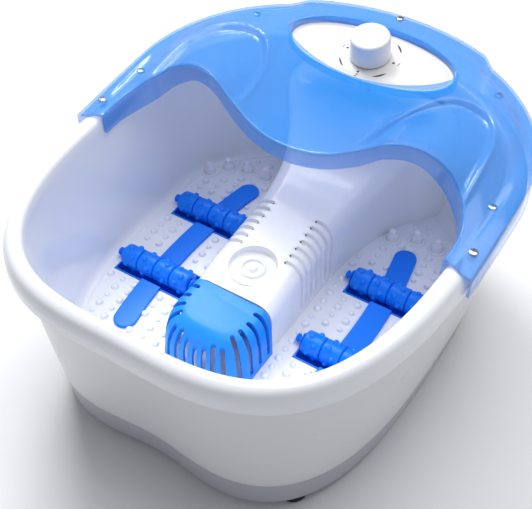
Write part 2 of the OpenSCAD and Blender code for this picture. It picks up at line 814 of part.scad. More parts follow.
lens_t = 1.5;
lens_out = 18;
module lamp_lens() placed() color("#C8CCD2") {
    translate([0, nose_y, nose_hole_z])
        rotate([90, 0, 0])
            rotate_extrude()
                polygon([
                    [nose_hole_r - 0.3, -3], [nose_hole_r - 0.3, lens_out - 6],
                    [nose_hole_r - 3, lens_out - 1.5], [nose_hole_r - 8, lens_out], [0, lens_out],
                    [0, lens_out - lens_t], [nose_hole_r - 8.5, lens_out - lens_t],
                    [nose_hole_r - 4, lens_out - 3], [nose_hole_r - 0.3 - lens_t, lens_out - 6.5],
                    [nose_hole_r - 0.3 - lens_t, -3.2], [nose_hole_r + 2, -5], [nose_hole_r + 2, -3]
                ]);
}
module infrared_lamp() placed() color("#F2D9C8") {
    translate([0, nose_y + 3, nose_hole_z])
        rotate([90, 0, 0]) {
            sphere(r = 6);
            translate([0, 0, -14])
                cylinder(r = 4.5, h = 14);
        }
}
module lamp_holder() placed() color("#E3E0D8") {
    translate([0, nose_y + 14, nose_hole_z]) {
        rotate([-90, 0, 0])
            difference() {
                cylinder(r = 8, h = 14);
                translate([0, 0, -1])
                    cylinder(r = 4.5 + 0.1, h = 8);
            }
        translate([-6, 6, -(nose_hole_z - foot_h - base_t)])
            cube([12, 3, nose_hole_z - foot_h - base_t - 7]);
        translate([-10, 0, -(nose_hole_z - foot_h - base_t)])
            cube([20, 14, 3]);
    }
}

// ---- heater, air line and wiring under the tub ----

plate_x = 56;
plate_y = 38;
plate_t = 2.5;
plate_at_y = (roller_y_front + roller_y_rear) / 2;
plate_top = floor_z - tub_t - 0.1;
module heater_plate() placed() color("#B9BDC2") {
    for (s = [-1, 1])
        translate([s * roller_x, plate_at_y, plate_top - plate_t / 2]) {
            cube([plate_x, plate_y, plate_t], center = true);
            for (k = [-1, 0, 1])
                translate([0, k * 11, -plate_t / 2 - 1.2])
                    cube([plate_x - 8, 3, 2.4], center = true);
        }
}
module thermostat() placed() color("#D8D4C8") {
    translate([roller_x, plate_at_y, plate_top - plate_t - 2.5]) {
        translate([0, 0, -9])
            cylinder(r = 8, h = 9);
        for (s = [-1, 1])
            translate([s * 4, 0, -11])
                cube([0.8, 5, 6], center = true);
    }
}
module thermal_fuse() placed() color("#C9CCD0") {
    translate([-roller_x, plate_at_y, plate_top - plate_t - 4.6])
        rotate([0, 90, 0]) {
            cylinder(r = 2, h = 12, center = true);
            cylinder(r = 0.6, h = 26, center = true);
        }
}

motor_y = 82;
module along_y(y) {
    translate([0, y, motor_z])
        rotate([-90, 0, 0])
            children();
}
module motor_can() placed() color("#A7ABB0") {
    along_y(motor_y)
        difference() {
            union() {
                rotate_extrude()
                    polygon([[0, 0], [motor_r - 1.5, 0], [motor_r, 1.5], [motor_r, motor_len - 1.5],
                        [motor_r - 1.5, motor_len], [0, motor_len]]);
                translate([0, 0, -2.5])
                    cylinder(r = 7, h = motor_len + 4);
            }
            translate([0, 0, -5])
                cylinder(r = motor_shaft_r + run_gap, h = motor_len + 10);
        }
}
weight_y = motor_y - 17;
weight_h = 11;
impeller_y = motor_y + motor_len + 7;
impeller_h = 12;
module motor_shaft() placed() color("#D5D8DC") {
    along_y(weight_y - 3)
        cylinder(r = motor_shaft_r, h = impeller_y + impeller_h + 2 - weight_y + 3);
}
hub_gap = 0.02;
module eccentric_weight() placed() color("#8E9298") {
    along_y(weight_y)
        difference() {
            union() {
                cylinder(r = 6, h = weight_h);
                difference() {
                    cylinder(r = weight_r, h = weight_h - 2);
                    translate([-weight_r - 1, -weight_r - 1, -1])
                        cube([2 * weight_r + 2, weight_r + 1, weight_h + 2]);
                }
            }
            translate([0, 0, -1])
                cylinder(r = motor_shaft_r + hub_gap, h = weight_h + 2);
        }
}
blade_n = 14;
module blower_impeller() placed() color("#DADDE2") {
    along_y(impeller_y)
        difference() {
            union() {
                cylinder(r = impeller_r, h = 1.5);
                cylinder(r = 6, h = impeller_h);
                for (i = [0:blade_n - 1])
                    rotate([0, 0, i * 360 / blade_n])
                        translate([impeller_r - 11, 0, 1])
                            rotate([0, 0, 25])
                                cube([10, 1.2, impeller_h - 1]);
            }
            translate([0, 0, -1])
                cylinder(r = motor_shaft_r + hub_gap, h = impeller_h + 2);
        }
}
housing_r = impeller_r + 5;
housing_t = 2;
housing_y = motor_y + motor_len + 2.2;
housing_len = impeller_y + impeller_h + 4 - housing_y;
spigot_x = -20;
spigot_r = 7;
spigot_top = motor_z + housing_r + 8;
module blower_housing() placed() color("#33353A") {
    difference() {
        union() {
            along_y(housing_y)
                cylinder(r = housing_r + housing_t, h = housing_len);
            translate([spigot_x, housing_y + housing_len / 2, motor_z + 10])
                cylinder(r = spigot_r, h = spigot_top - motor_z - 10);
        }
        along_y(housing_y + housing_t)
            cylinder(r = housing_r, h = housing_len);
        along_y(housing_y - 1)
            cylinder(r = 8, h = 6);
        translate([spigot_x, housing_y + housing_len / 2, motor_z + 8])
            cylinder(r = spigot_r - 1.6, h = 60);
    }
    for (s = [-1, 1])
        translate([s * (housing_r - 6) - 3, housing_y + 2, foot_h + base_t])
            cube([6, housing_len - 4, motor_z - housing_r * 0.62 - foot_h - base_t - 3]);
}
module blower_cover() placed() color("#3C3F45") {
    along_y(housing_y + housing_len + 0.05)
        difference() {
            cylinder(r = housing_r + housing_t, h = 2.2);
            translate([0, 0, -1])
                cylinder(r = 5, h = 5);
            for (i = [0:7])
                rotate([0, 0, i * 45])
                    translate([11, 0, -1])
                        cylinder(r = 3, h = 5);
        }
}
mount_h = 5;
bracket_plate = 3;
bracket_x = 36;
module motor_bracket() placed() color("#C3C6CA") {
    foot_z = foot_h + base_t + mount_h;
    difference() {
        translate([-bracket_x, motor_y + 3, foot_z])
            cube([2 * bracket_x, motor_len - 8, bracket_plate]);
        for (x = [-1, 1], y = [0, 1])
            translate([x * (bracket_x - 5), motor_y + 8 + y * (motor_len - 18), foot_z - 1])
                cylinder(r = 2.2, h = 6);
    }
    for (y = [motor_y + 5, motor_y + motor_len - 10])
        difference() {
            translate([-motor_r - 4, y, foot_z + 1])
                cube([2 * motor_r + 8, 3, motor_z - foot_z + 3]);
            along_y(y - 1)
                cylinder(r = motor_r + 0.1, h = 6);
        }
}
module rubber_mounts() placed() color("#222326") {
    for (x = [-1, 1], y = [0, 1])
        translate([x * (bracket_x - 5), motor_y + 8 + y * (motor_len - 18), foot_h + base_t]) {
            cylinder(r = 5, h = mount_h);
            cylinder(r = 2.1, h = mount_h + bracket_plate);
            translate([0, 0, mount_h + bracket_plate])
                cylinder(r = 4, h = 2);
        }
}

manifold_w = 26;
manifold_front = -27;
manifold_rear = 34;
manifold_top = console_z - 8;
manifold_h = 16;
module air_manifold() placed() color("#E6E8EC") {
    difference() {
        translate([-manifold_w, manifold_front, manifold_top - manifold_h])
            cube([2 * manifold_w, manifold_rear - manifold_front, manifold_h]);
        translate([0, manifold_rear - 4, manifold_top - manifold_h / 2])
            rotate([-90, 0, 0])
                cylinder(r = 5, h = 8);
    }
    for (i = [0:slot_n - 1], side = [-1, 1])
        let (y = slot_y0 + i * slot_pitch)
        translate([side * (console_w - shoulder_r + 0.7), y, manifold_top - 0.5])
            cylinder(r = 2, h = slot_top_z(y) - 4.5 - manifold_top, $fn = 24);
}
hose_r = 6.5;
hose_route = [
    [spigot_x, housing_y + housing_len / 2, spigot_top + 0.3],
    [spigot_x, housing_y + housing_len / 2, spigot_top + 5], [spigot_x + 2, 127, spigot_top + 13],
    [-14, 113, 103], [-8, 99, 97], [-3, 84, 89], [0, 66, 82], [0, 48, 78],
    [0, manifold_rear + 0.2, manifold_top - manifold_h / 2]
];
module air_hose() placed() color("#E9EAEC") tube(route(hose_route), hose_r);

block_x = 66;
block_y = 84;
module terminal_block() placed() color("#E8E6DF") {
    difference() {
        translate([block_x - 22, block_y - 8, foot_h + base_t])
            cube([44, 16, 14]);
        for (i = [0:3], s = [-1, 1])
            translate([block_x - 16 + i * 10.6, block_y + s * 4, foot_h + base_t + 8])
                cylinder(r = 2.6, h = 10);
    }
}
lead_r = 1.6;
lead_gap = 0.2;
motor_lead_route = [
    [block_x - 16, block_y - 8 - lead_gap, 17], [block_x - 16, block_y - 13, 17], [44, 66, 14],
    [38, 72, 17], [36, 82, 30], [31, 93, 43], [26, 98, 48], [motor_r + lead_gap, 98.5, 49.5]
];
heater_lead_route = [
    [block_x + 15.6, block_y - 8 - lead_gap, 17], [block_x + 15.6, block_y - 13, 17], [83, 58, 14],
    [84, 36, 14], [86, 14, 15], [roller_x + 2, plate_at_y + 6, 20],
    [roller_x, plate_at_y + 1, floor_z - 20.5]
];
module motor_lead() placed() color("#C23B2E") tube(route(motor_lead_route), lead_r);
module heater_lead() placed() color("#2C5AA8") tube(route(heater_lead_route), lead_r);

tub();
outer_casing();
base_shell();
rubber_feet();
base_screws();
splash_guard();
guard_screws();
control_panel();
control_knob();
switch_body();
switch_shaft();
switch_nut();
massage_strip_left();
massage_strip_right();
roller_front_left();
roller_front_right();
roller_rear_left();
roller_rear_right();
filter_cap();
lamp_lens();
infrared_lamp();
lamp_holder();
heater_plate();
thermostat();
thermal_fuse();
motor_can();
motor_shaft();
eccentric_weight();
blower_impeller();
blower_housing();
blower_cover();
motor_bracket();
rubber_mounts();
air_hose();
air_manifold();
terminal_block();
cord_gland();
motor_lead();
heater_lead();
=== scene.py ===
"""Foot spa basin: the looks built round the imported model.

The white tub with its console, nubs and rolled rim, the casing and base band, the tinted splash
guard, the control panel and knob, the massage strips and rollers, and the filter cap.
Sizes in this file are millimetres; shapes turn to metres when their mesh is made.
"""

import math

import bmesh
import bpy
import numpy as np
from mathutils import Matrix, Vector
from mathutils.bvhtree import BVHTree


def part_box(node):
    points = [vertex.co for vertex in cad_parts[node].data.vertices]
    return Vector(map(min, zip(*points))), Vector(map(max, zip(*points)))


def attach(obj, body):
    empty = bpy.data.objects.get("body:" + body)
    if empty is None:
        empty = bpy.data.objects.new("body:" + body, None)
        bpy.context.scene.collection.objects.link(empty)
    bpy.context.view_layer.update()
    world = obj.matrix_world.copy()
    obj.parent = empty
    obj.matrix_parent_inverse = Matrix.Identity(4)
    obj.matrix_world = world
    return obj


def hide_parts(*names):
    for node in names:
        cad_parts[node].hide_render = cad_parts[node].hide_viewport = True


bl_info = {
    "name": "Foot spa basin",
    "version": (1, 0, 0),
    "blender": (4, 5, 0),
    "location": "3D View > Sidebar > Foot spa",
    "description": "Builds the visible pieces of a foot spa basin round its frame",
    "category": "Add Mesh",
}

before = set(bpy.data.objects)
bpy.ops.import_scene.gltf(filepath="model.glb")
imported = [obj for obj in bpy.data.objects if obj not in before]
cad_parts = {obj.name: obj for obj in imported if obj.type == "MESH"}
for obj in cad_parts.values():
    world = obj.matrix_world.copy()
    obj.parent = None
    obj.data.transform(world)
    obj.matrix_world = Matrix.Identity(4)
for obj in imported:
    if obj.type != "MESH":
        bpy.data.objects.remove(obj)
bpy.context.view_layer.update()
MM = 0.001
SPA = "spa"


def node_box(name):
    """Lowest and highest corners of a CAD node in millimetres."""
    low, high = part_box(name)
    return np.array(low) / MM, np.array(high) / MM


# ---- sizes that follow the frame ----

TUB_LOW, TUB_HIGH = node_box("tub")
CASING_HIGH = node_box("outer_casing")[1]
BASE_LOW, BASE_HIGH = node_box("base_shell")
CAP_LOW, CAP_HIGH = node_box("filter_cap")
ROLLER_LOW, ROLLER_HIGH = node_box("roller_front_right")
STRIP_LOW, STRIP_HIGH = node_box("massage_strip_right")
PANEL_HIGH = node_box("control_panel")[1]

# Rolled rim: its crest, its width at the sides and the height of its outer face
RIM_TOP = TUB_HIGH[2]
RIM_W = 17.0
RIM_DROP = 19.0
RIM_FRONT_SHARE = 0.87
# Inner opening: half width, and the reach to the front and the rear from the plan centre
PLAN_Y = 51.6
FRONT_TRIM = 1.25
OPEN_HALF_W = TUB_HIGH[0] - RIM_W
OPEN_FRONT = PLAN_Y - TUB_LOW[1] - RIM_W * RIM_FRONT_SHARE + FRONT_TRIM
OPEN_REAR = TUB_HIGH[1] - PLAN_Y - RIM_W * RIM_FRONT_SHARE
FRONT_N = 3.5
REAR_N = 2.05
# Foot-well floor: the roller axes lie a little above it
ROLLER_LIFT = 5.0
FLOOR = (ROLLER_LOW[2] + ROLLER_HIGH[2]) / 2 - ROLLER_LIFT
TUB_T = 2.5
WALL_DRAFT = 6.0
FRONT_DRAFT = 20.0
REAR_DRAFT = 10.0
FOOT_H = BASE_LOW[2]
BAND_TOP = BASE_HIGH[2]
# Console
CONSOLE_W = CAP_HIGH[0] - 2.0
CONSOLE_Z = CAP_HIGH[2] + 5.5
SHOULDER_R = 14.0
NOSE_Y = CAP_HIGH[1] + 0.5
SEAT_Y = -37.0
SEAT_R = 19.0
SLOT_N = 7
SLOT_Y0 = -22.5
SLOT_PITCH = 7.6
# Rollers and strips
ROLLER_X = (STRIP_LOW[0] + STRIP_HIGH[0]) / 2
ROLLER_YS = {"front": (ROLLER_LOW[1] + ROLLER_HIGH[1]) / 2, "rear": 30.5}
ROLLER_Z = FLOOR + ROLLER_LIFT
ROLLER_LEN = 64.0
ROLLER_R = 9.5
STUB_OUT = (ROLLER_HIGH[0] - ROLLER_LOW[0] - ROLLER_LEN) / 2 - 0.1
TRAY_END = 2.5
TRAY_SIDE = 5.3
STRIP_W = 19.0
STRIP_T = 2.5
# Guard and panel
GUARD_T = 2.4
GUARD_GAP = 0.6
PANEL_A = PANEL_HIGH[0]
PANEL_B = 28.0
PANEL_T = 1.6
PANEL_TILT = math.radians(10.6)
PANEL_Y = 135.0
PANEL_Z = RIM_TOP + 16.0
KNOB_R = 16.5
KNOB_H = 20.0


# ---- user sizes and colours ----


def srgb(hex_code):
    """Linear RGBA of an sRGB hex colour."""
    out = []
    for k in (1, 3, 5):
        c = int(hex_code[k:k + 2], 16) / 255
        out.append(c / 12.92 if c <= 0.04045 else ((c + 0.055) / 1.055) ** 2.4)
    return (*out, 1.0)


def colour_prop(name, about, hex_code):
    """A colour a user may change."""
    return bpy.props.FloatVectorProperty(
        name=name, description=about, subtype="COLOR", size=4, min=0, max=1, default=srgb(hex_code)
    )


def length_prop(name, about, mm):
    """A length a user may change, kept in metres."""
    return bpy.props.FloatProperty(
        name=name, description=about, default=mm * MM, min=0, unit="LENGTH", precision=4
    )


class FOOTSPA_PG_colours(bpy.types.PropertyGroup):
    """Colours of the moulded plastics and the print."""

    # The tub's faint blue tint is painted light: the blue light that falls through the guard into the basin.
    tub: colour_prop("Tub", "Glossy white plastic of the tub", "#F6F8FD")
    # Greyer than the tub: the grey is painted shade of the outer walls.
    casing: colour_prop("Casing", "White plastic of the outer casing", "#E9E9EC")
    base: colour_prop("Base band", "Grey plastic of the base", "#BCBDC4")
    guard: colour_prop("Splash guard", "Tinted clear plastic of the guard", "#22A0FF")
    roller: colour_prop("Rollers", "Blue plastic of the rollers and strips", "#0080FF")
    cap: colour_prop("Filter cap", "Light blue plastic of the filter cap", "#1C92FF")
    panel: colour_prop("Panel", "Printed control plate", "#E4E2DF")
    print_ink: colour_prop("Print", "Ink of the marks on the control plate", "#1A1A1C")


class FOOTSPA_PG_sizes(bpy.types.PropertyGroup):
    """Sizes of the small repeated features."""

    nub_pitch_x: length_prop("Nub spacing across", "Between columns of floor nubs", 12.6)
    nub_pitch_y: length_prop("Nub spacing along", "Between rows of floor nubs", 9.65)
    nub_large: length_prop("Large nub radius", "Radius of the larger floor nubs", 3.3)
    nub_small: length_prop("Small nub radius", "Radius of the smaller floor nubs", 2.4)
    groove_w: length_prop("Air groove width", "Width of the console's air grooves", 3.3)
    groove_depth: length_prop("Air groove depth", "Depth of the console's air grooves", 2.8)
    knob_bump: length_prop("Roller knob height", "How far a roller's knobs stand out", 1.7)


def colours():
    return bpy.context.scene.footspa_colours


def sizes():
    return bpy.context.scene.footspa_sizes


# ---- meshes ----


def make_mesh(name, points, faces, smooth=True):
    """An object in the scene from points in millimetres and faces."""
    mesh = bpy.data.meshes.new(name)
    mesh.from_pydata([tuple(p) for p in np.asarray(points, float) * MM], [], faces)
    mesh.validate()
    obj = bpy.data.objects.new(name, mesh)
    bpy.context.scene.collection.objects.link(obj)
    if smooth:
        mesh.shade_smooth()
    return obj


def sharpen(obj, degrees):
    """Smooth shading that stays sharp at edges steeper than an angle."""
    obj.data.shade_smooth()
    obj.data.set_sharp_from_angle(angle=math.radians(degrees))
    return obj


def outward(obj):
    """Merge doubles and turn every face outwards."""
    bm = bmesh.new()
    bm.from_mesh(obj.data)
    bmesh.ops.remove_doubles(bm, verts=bm.verts, dist=1e-6)
    bmesh.ops.recalc_face_normals(bm, faces=bm.faces)
    bm.to_mesh(obj.data)
    bm.free()
    return obj


def loft(name, rows, loop_rows=False, caps=True, smooth=True):
    """Skin over closed rows of equal length; the ends are capped unless the rows form a loop."""
    rows = [np.asarray(r, float) for r in rows]
    m, n = len(rows), len(rows[0])
    faces = []
    for j in range(m if loop_rows else m - 1):
        for i in range(n):
            a, b = j * n + i, j * n + (i + 1) % n
            c, d = (j + 1) % m * n + (i + 1) % n, (j + 1) % m * n + i
            faces.append((a, b, c, d))
    if caps and not loop_rows:
        faces.append(tuple(range(n - 1, -1, -1)))
        faces.append(tuple((m - 1) * n + i for i in range(n)))
    return outward(make_mesh(name, np.concatenate(rows), faces, smooth))


def lathe(name, profile, turns=64):
    """A closed solid turned round Z from a profile of (radius, height), axis to axis."""
    first_on, last_on = profile[0][0] <= 1e-6, profile[-1][0] <= 1e-6
    if last_on and not first_on:
        profile = [(0, profile[0][1])] + list(profile)
    inner = [(r, z) for r, z in profile if r > 1e-6]
    angles = np.linspace(0, 2 * math.pi, turns, endpoint=False)
    rows = [np.stack([r * np.cos(angles), r * np.sin(angles), np.full(turns, z)], 1) for r, z in inner]
    points = list(np.concatenate(rows))

    def band(a, b):
        """Faces between two rings given by their first points."""
        return [(a + i, a + (i + 1) % turns, b + (i + 1) % turns, b + i) for i in range(turns)]

    faces = [face for j in range(len(inner) - 1) for face in band(j * turns, (j + 1) * turns)]
    for end, row in ((profile[0], 0), (profile[-1], len(inner) - 1)):
        if end[0] <= 1e-6:
            points.append(np.array([0, 0, end[1]]))
            tip = len(points) - 1
            faces += [(row * turns + i, row * turns + (i + 1) % turns, tip) for i in range(turns)]
    if profile[0][0] > 1e-6:
        faces += band(0, (len(inner) - 1) * turns)
    return outward(make_mesh(name, points, faces))


def place(obj, matrix):
    """Move a mesh by a matrix in millimetres."""
    moved = matrix.copy()
    moved.translation = moved.translation * MM
    obj.data.transform(moved)
    obj.data.update()
    return obj


def shift(x, y, z):
    return Matrix.Translation((x, y, z))


def turn(degrees, axis):
    return Matrix.Rotation(math.radians(degrees), 4, axis)


def joined(name, parts):
    """One object from several."""
    bm = bmesh.new()
    for part in parts:
        bm.from_mesh(part.data)
        drop(part)
    mesh = bpy.data.meshes.new(name)
    bm.to_mesh(mesh)
    bm.free()
    obj = bpy.data.objects.new(name, mesh)
    bpy.context.scene.collection.objects.link(obj)
    return obj


def drop(obj):
    """Remove a helper object and its data."""
    data = obj.data
    bpy.data.objects.remove(obj)
    if isinstance(data, bpy.types.Mesh):
        bpy.data.meshes.remove(data)


def baked(obj):
    """Replace an object's mesh by its evaluated shape and clear its modifiers."""
    bpy.context.view_layer.update()
    graph = bpy.context.evaluated_depsgraph_get()
    mesh = bpy.data.meshes.new_from_object(obj.evaluated_get(graph), depsgraph=graph)
    obj.modifiers.clear()
    old = obj.data
    obj.data = mesh
    bpy.data.meshes.remove(old)
    return obj


def cut(obj, tools, operation="DIFFERENCE"):
    """Boolean an object with tools, which are then removed."""
    for tool in tools:
        mod = obj.modifiers.new("cut", "BOOLEAN")
        mod.operation = operation
        mod.solver = "EXACT"
        mod.object = tool
    baked(obj)
    for tool in tools:
        drop(tool)
    return obj


def block(name, low, high):
    """A box used as a cutting tool."""
    (x0, y0, z0), (x1, y1, z1) = low, high
    row = [(x0, y0), (x1, y0), (x1, y1), (x0, y1)]
    return loft(name, [[(x, y, z) for x, y in row] for z in (z0, z1)], smooth=False)


def smooth_line(points, samples):
    """A smooth curve through points, sampled evenly by point index."""
    p = np.asarray(points, float)
    n = len(p)
    out = []
    for t in np.linspace(0, n - 1, samples):
        k = min(int(t), n - 2)
        s = t - k
        a, b = p[k], p[k + 1]
        ma = (p[k + 1] - p[k - 1]) / 2 if k > 0 else p[1] - p[0]
        mb = (p[k + 2] - p[k]) / 2 if k < n - 2 else p[n - 1] - p[n - 2]
        out.append(
            a * (2 * s**3 - 3 * s * s + 1) + ma * (s**3 - 2 * s * s + s)
            + b * (3 * s * s - 2 * s**3) + mb * (s**3 - s * s)
        )
    return np.array(out)


def rounded(points, radii, steps=5):
    """A polyline whose corners are rounded by short arcs."""
    p = [np.asarray(q, float) for q in points]
    out = [p[0]]
    for k in range(1, len(p) - 1):
        before, after = p[k - 1] - p[k], p[k + 1] - p[k]
        la, lb = np.linalg.norm(before), np.linalg.norm(after)
        a = p[k] + before / max(la, 1e-9) * min(radii[k], la * 0.45)
        b = p[k] + after / max(lb, 1e-9) * min(radii[k], lb * 0.45)
        for s in np.linspace(0, 1, steps):
            out.append((1 - s) ** 2 * a + 2 * s * (1 - s) * p[k] + s * s * b)
    out.append(p[-1])
    return np.array(out)


def ease(s):
    c = np.clip(s, 0, 1)
    return c * c * (3 - 2 * c)


# ---- materials ----


def add(tree, kind, settings=None, **links):
    """Add a node: plain names in settings are properties, links and values go to named sockets."""
    made = tree.nodes.new(kind)
    for key, value in (settings or {}).items():
        setattr(made, key, value)
    for key, value in links.items():
        wanted = key.replace("_", " ").lower()
        socket = made.inputs[int(key[3:])] if key.startswith("in_") and key[3:].isdigit() else next(
            s for s in made.inputs if s.name.lower() == wanted and s.enabled
        )
        if isinstance(value, bpy.types.NodeSocket):
            tree.links.new(value, socket)
        else:
            socket.default_value = value
    return made


def new_material(name):
    """An empty node material with its output."""
    mat = bpy.data.materials.new(name)
    mat.use_nodes = True
    mat.node_tree.nodes.clear()
    return mat, mat.node_tree


def mottled(tree, colour, scale_mm, amount, source):
    """Colour that wanders a little, as pigment does in moulded plastic."""
    noise = add(tree, "ShaderNodeTexNoise", vector=source, scale=1 / (scale_mm * MM), detail=3.0)
    dark = tuple(c * (1 - amount) for c in colour[:3]) + (1.0,)
    mix = add(tree, "ShaderNodeMix", {"data_type": "RGBA"}, factor=noise.outputs["Fac"])
    sockets = [s for s in mix.inputs if s.type == "RGBA"]
    sockets[0].default_value = colour
    sockets[1].default_value = dark
    return next(s for s in mix.outputs if s.type == "RGBA")


def dressed_shader(mat, base, roughness, relief, plain):
    """Finish a material with its shader; the values in plain stand on the shader's own sockets."""
    tree = mat.node_tree
    shader = add(
        tree, "ShaderNodeBsdfPrincipled", base_color=base, roughness=roughness,
        normal=relief.outputs["Normal"]
    )
    for socket, value in plain.items():
        shader.inputs[socket].default_value = value
    add(tree, "ShaderNodeOutputMaterial", surface=shader.outputs["BSDF"])
    return mat


def moulded_plastic(name, colour, roughness, wander=0.03, grain_mm=0.5, bump=0.02, spread=0.06,
                    coat=0.0, scatter=0.0, specular=0.5):
    """Injection-moulded plastic: even colour, faint flow marks and a fine orange-peel skin."""
    mat, tree = new_material(name)
    where = add(tree, "ShaderNodeTexCoord").outputs["Object"]
    base = mottled(tree, colour, 30, wander, where)
    flow = add(tree, "ShaderNodeTexNoise", vector=where, scale=1 / (14 * MM), detail=4.0)
    rough = add(
        tree, "ShaderNodeMapRange", value=flow.outputs["Fac"],
        to_min=max(roughness - spread, 0.02), to_max=roughness + spread
    )
    skin = add(tree, "ShaderNodeTexNoise", vector=where, scale=1 / (grain_mm * MM), detail=2.0)
    relief = add(tree, "ShaderNodeBump", height=skin.outputs["Fac"], strength=bump, distance=0.0004)
    return dressed_shader(mat, base, rough.outputs["Result"], relief, {
        "IOR": 1.53, "Coat Weight": coat, "Coat Roughness": 0.06, "Specular IOR Level": specular,
        "Subsurface Weight": scatter, "Subsurface Radius": (0.004, 0.004, 0.005),
    })


def tinted_clear_plastic(name, colour):
    """Tinted styrene: light passes through blue, the skin stays glossy with faint flow lines."""
    mat, tree = new_material(name)
    where = add(tree, "ShaderNodeTexCoord").outputs["Object"]
    base = mottled(tree, colour, 40, 0.06, where)
    flow = add(tree, "ShaderNodeTexNoise", vector=where, scale=1 / (22 * MM), detail=2.0)
    relief = add(tree, "ShaderNodeBump", height=flow.outputs["Fac"], strength=0.05, distance=0.002)
    rough = add(tree, "ShaderNodeMapRange", value=flow.outputs["Fac"], to_min=0.1, to_max=0.2)
    return dressed_shader(mat, base, rough.outputs["Result"], relief, {
        "IOR": 1.5, "Alpha": 0.44, "Coat Weight": 0.6, "Coat Roughness": 0.05,
    })


def bare_metal(name, colour, roughness, streak_mm=0.4, along=(1.0, 1.0, 14.0)):
    """Drawn or plated metal: fine streaks along one direction break up the reflection."""
    mat, tree = new_material(name)
    where = add(tree, "ShaderNodeTexCoord").outputs["Object"]
    stretched = add(tree, "ShaderNodeMapping", vector=where)
    stretched.inputs["Scale"].default_value = tuple(1 / a for a in along)
    streaks = add(
        tree, "ShaderNodeTexNoise", vector=stretched.outputs["Vector"], scale=1 / (streak_mm * MM), detail=3.0
    )
    rough = add(
        tree, "ShaderNodeMapRange", value=streaks.outputs["Fac"], to_min=roughness * 0.7,
        to_max=roughness * 1.35
    )
    relief = add(tree, "ShaderNodeBump", height=streaks.outputs["Fac"], strength=0.1, distance=0.0002)
    base = mottled(tree, colour, 6, 0.12, where)
    return dressed_shader(mat, base, rough.outputs["Result"], relief, {"Metallic": 1.0})


def black_rubber(name, colour):
    """Moulded rubber: dull, with a dusty bloom and a coarse matt grain."""
    mat, tree = new_material(name)
    where = add(tree, "ShaderNodeTexCoord").outputs["Object"]
    base = mottled(tree, colour, 4, 0.35, where)
    grain = add(tree, "ShaderNodeTexNoise", vector=where, scale=1 / (0.35 * MM), detail=4.0)
    relief = add(tree, "ShaderNodeBump", height=grain.outputs["Fac"], strength=0.25, distance=0.0003)
    return dressed_shader(mat, base, 0.75, relief, {"IOR": 1.52})


def plastic(colour, roughness, **settings):
    return moulded_plastic, colour, {"roughness": roughness, **settings}


def metal(colour, roughness, streak_mm, *along):
    return bare_metal, colour, {
        "roughness": roughness, "streak_mm": streak_mm, "along": along or (1.0, 1.0, 1.0)
    }


# Each finish: its maker, a hex colour or the name of a colour that the user sets, and its settings
FINISHES = {
    # ABS from a polished mould: bright, glossy, with a clear reflection; the faint blue in its colour is
    # painted light from the tinted guard
    "gloss_white_abs": plastic("tub", 0.24, coat=0.25, wander=0.015),
    # The same ABS, a little less polished; its greyer colour is painted shade, as falls on the outer walls
    "casing_white_abs": plastic("casing", 0.3, coat=0.12, wander=0.02),
    # ABS filled grey, spark-eroded mould: satin with a fine grain
    "satin_grey_abs": plastic("base", 0.42, bump=0.08, grain_mm=0.8),
    # Tinted clear styrene
    "tinted_styrene": (tinted_clear_plastic, "guard", {}),
    # Polypropylene, deep blue, waxy gloss
    "blue_polypropylene": plastic("roller", 0.36, wander=0.05, bump=0.04, specular=0.3),
    # Polypropylene, lighter blue, satin top
    "cap_polypropylene": plastic("cap", 0.4, wander=0.04, bump=0.05, specular=0.3),
    # Screen-printed styrene plate, dull silver-white
    "printed_plate": plastic("panel", 0.38, wander=0.02, grain_mm=0.3),
    # Screen ink lying on the plate
    "screen_ink": plastic("print_ink", 0.5, wander=0.1),
    # Black ABS inside; the same black also dresses the plugs on the console's air grooves, where it is
    # painted shade for the holes
    "black_abs": plastic("#202125", 0.4, grain_mm=0.6, bump=0.06),
    # Natural polyamide, slightly yellow
    "natural_nylon": plastic("#DEDCD2", 0.4, scatter=0.1),
    # Zinc-plated screws
    "zinc_plate": metal("#C4C7CC", 0.28, 0.3),
    # Drawn steel can and shaft
    "drawn_steel": metal("#A9ADB2", 0.3, 0.5, 14.0, 1.0, 14.0),
    # Rolled aluminium heater plate
    "rolled_aluminium": metal("#C9CCD0", 0.35, 0.5, 20.0, 1.0, 1.0),
    # Turned brass shaft
    "turned_brass": metal("#C9A24E", 0.25, 0.25),
    # Cast zinc weight
    "cast_zinc": metal("#7D8187", 0.5, 1.2),
    # Steatite lamp holder and thermostat body
    "unglazed_steatite": plastic("#E4DFD2", 0.6, grain_mm=0.4, bump=0.15),
    # Milky polycarbonate lens
    "milky_lens": plastic("#C9CBD4", 0.25, scatter=0.2),
    # Lamp envelope, faintly warm
    "lamp_glass": plastic("#E9CDBB", 0.08, coat=0.6),
    # Silicone hose
    "silicone_hose": plastic("#E4E6EA", 0.45, scatter=0.15),
    # PVC insulation
    "red_pvc": plastic("#B5281D", 0.4),
    "blue_pvc": plastic("#1F4C9E", 0.4),
    # Moulded rubber, dull black
    "black_rubber": (black_rubber, "#1B1C1E", {}),
}
MADE = {}


def material_of(name):
    """The material of a finish, made once and shared."""
    if name not in MADE:
        maker, colour, settings = FINISHES[name]
        shade = srgb(colour) if colour[0] == "#" else tuple(getattr(colours(), colour))
        MADE[name] = maker(name, shade, **settings)
    return MADE[name]


def finished(obj, degrees, material, body=SPA, replaces=()):
    """Shade a piece with edges sharp above an angle, dress it, and make it ride on its body."""
    if degrees:
        sharpen(obj, degrees)
    obj.data.materials.clear()
    obj.data.materials.append(material_of(material))
    obj.data.polygons.foreach_set("material_index", [0] * len(obj.data.polygons))
    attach(obj, body)
    if replaces:
        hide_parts(*replaces)
    return obj


# ---- geometry-node trees ----


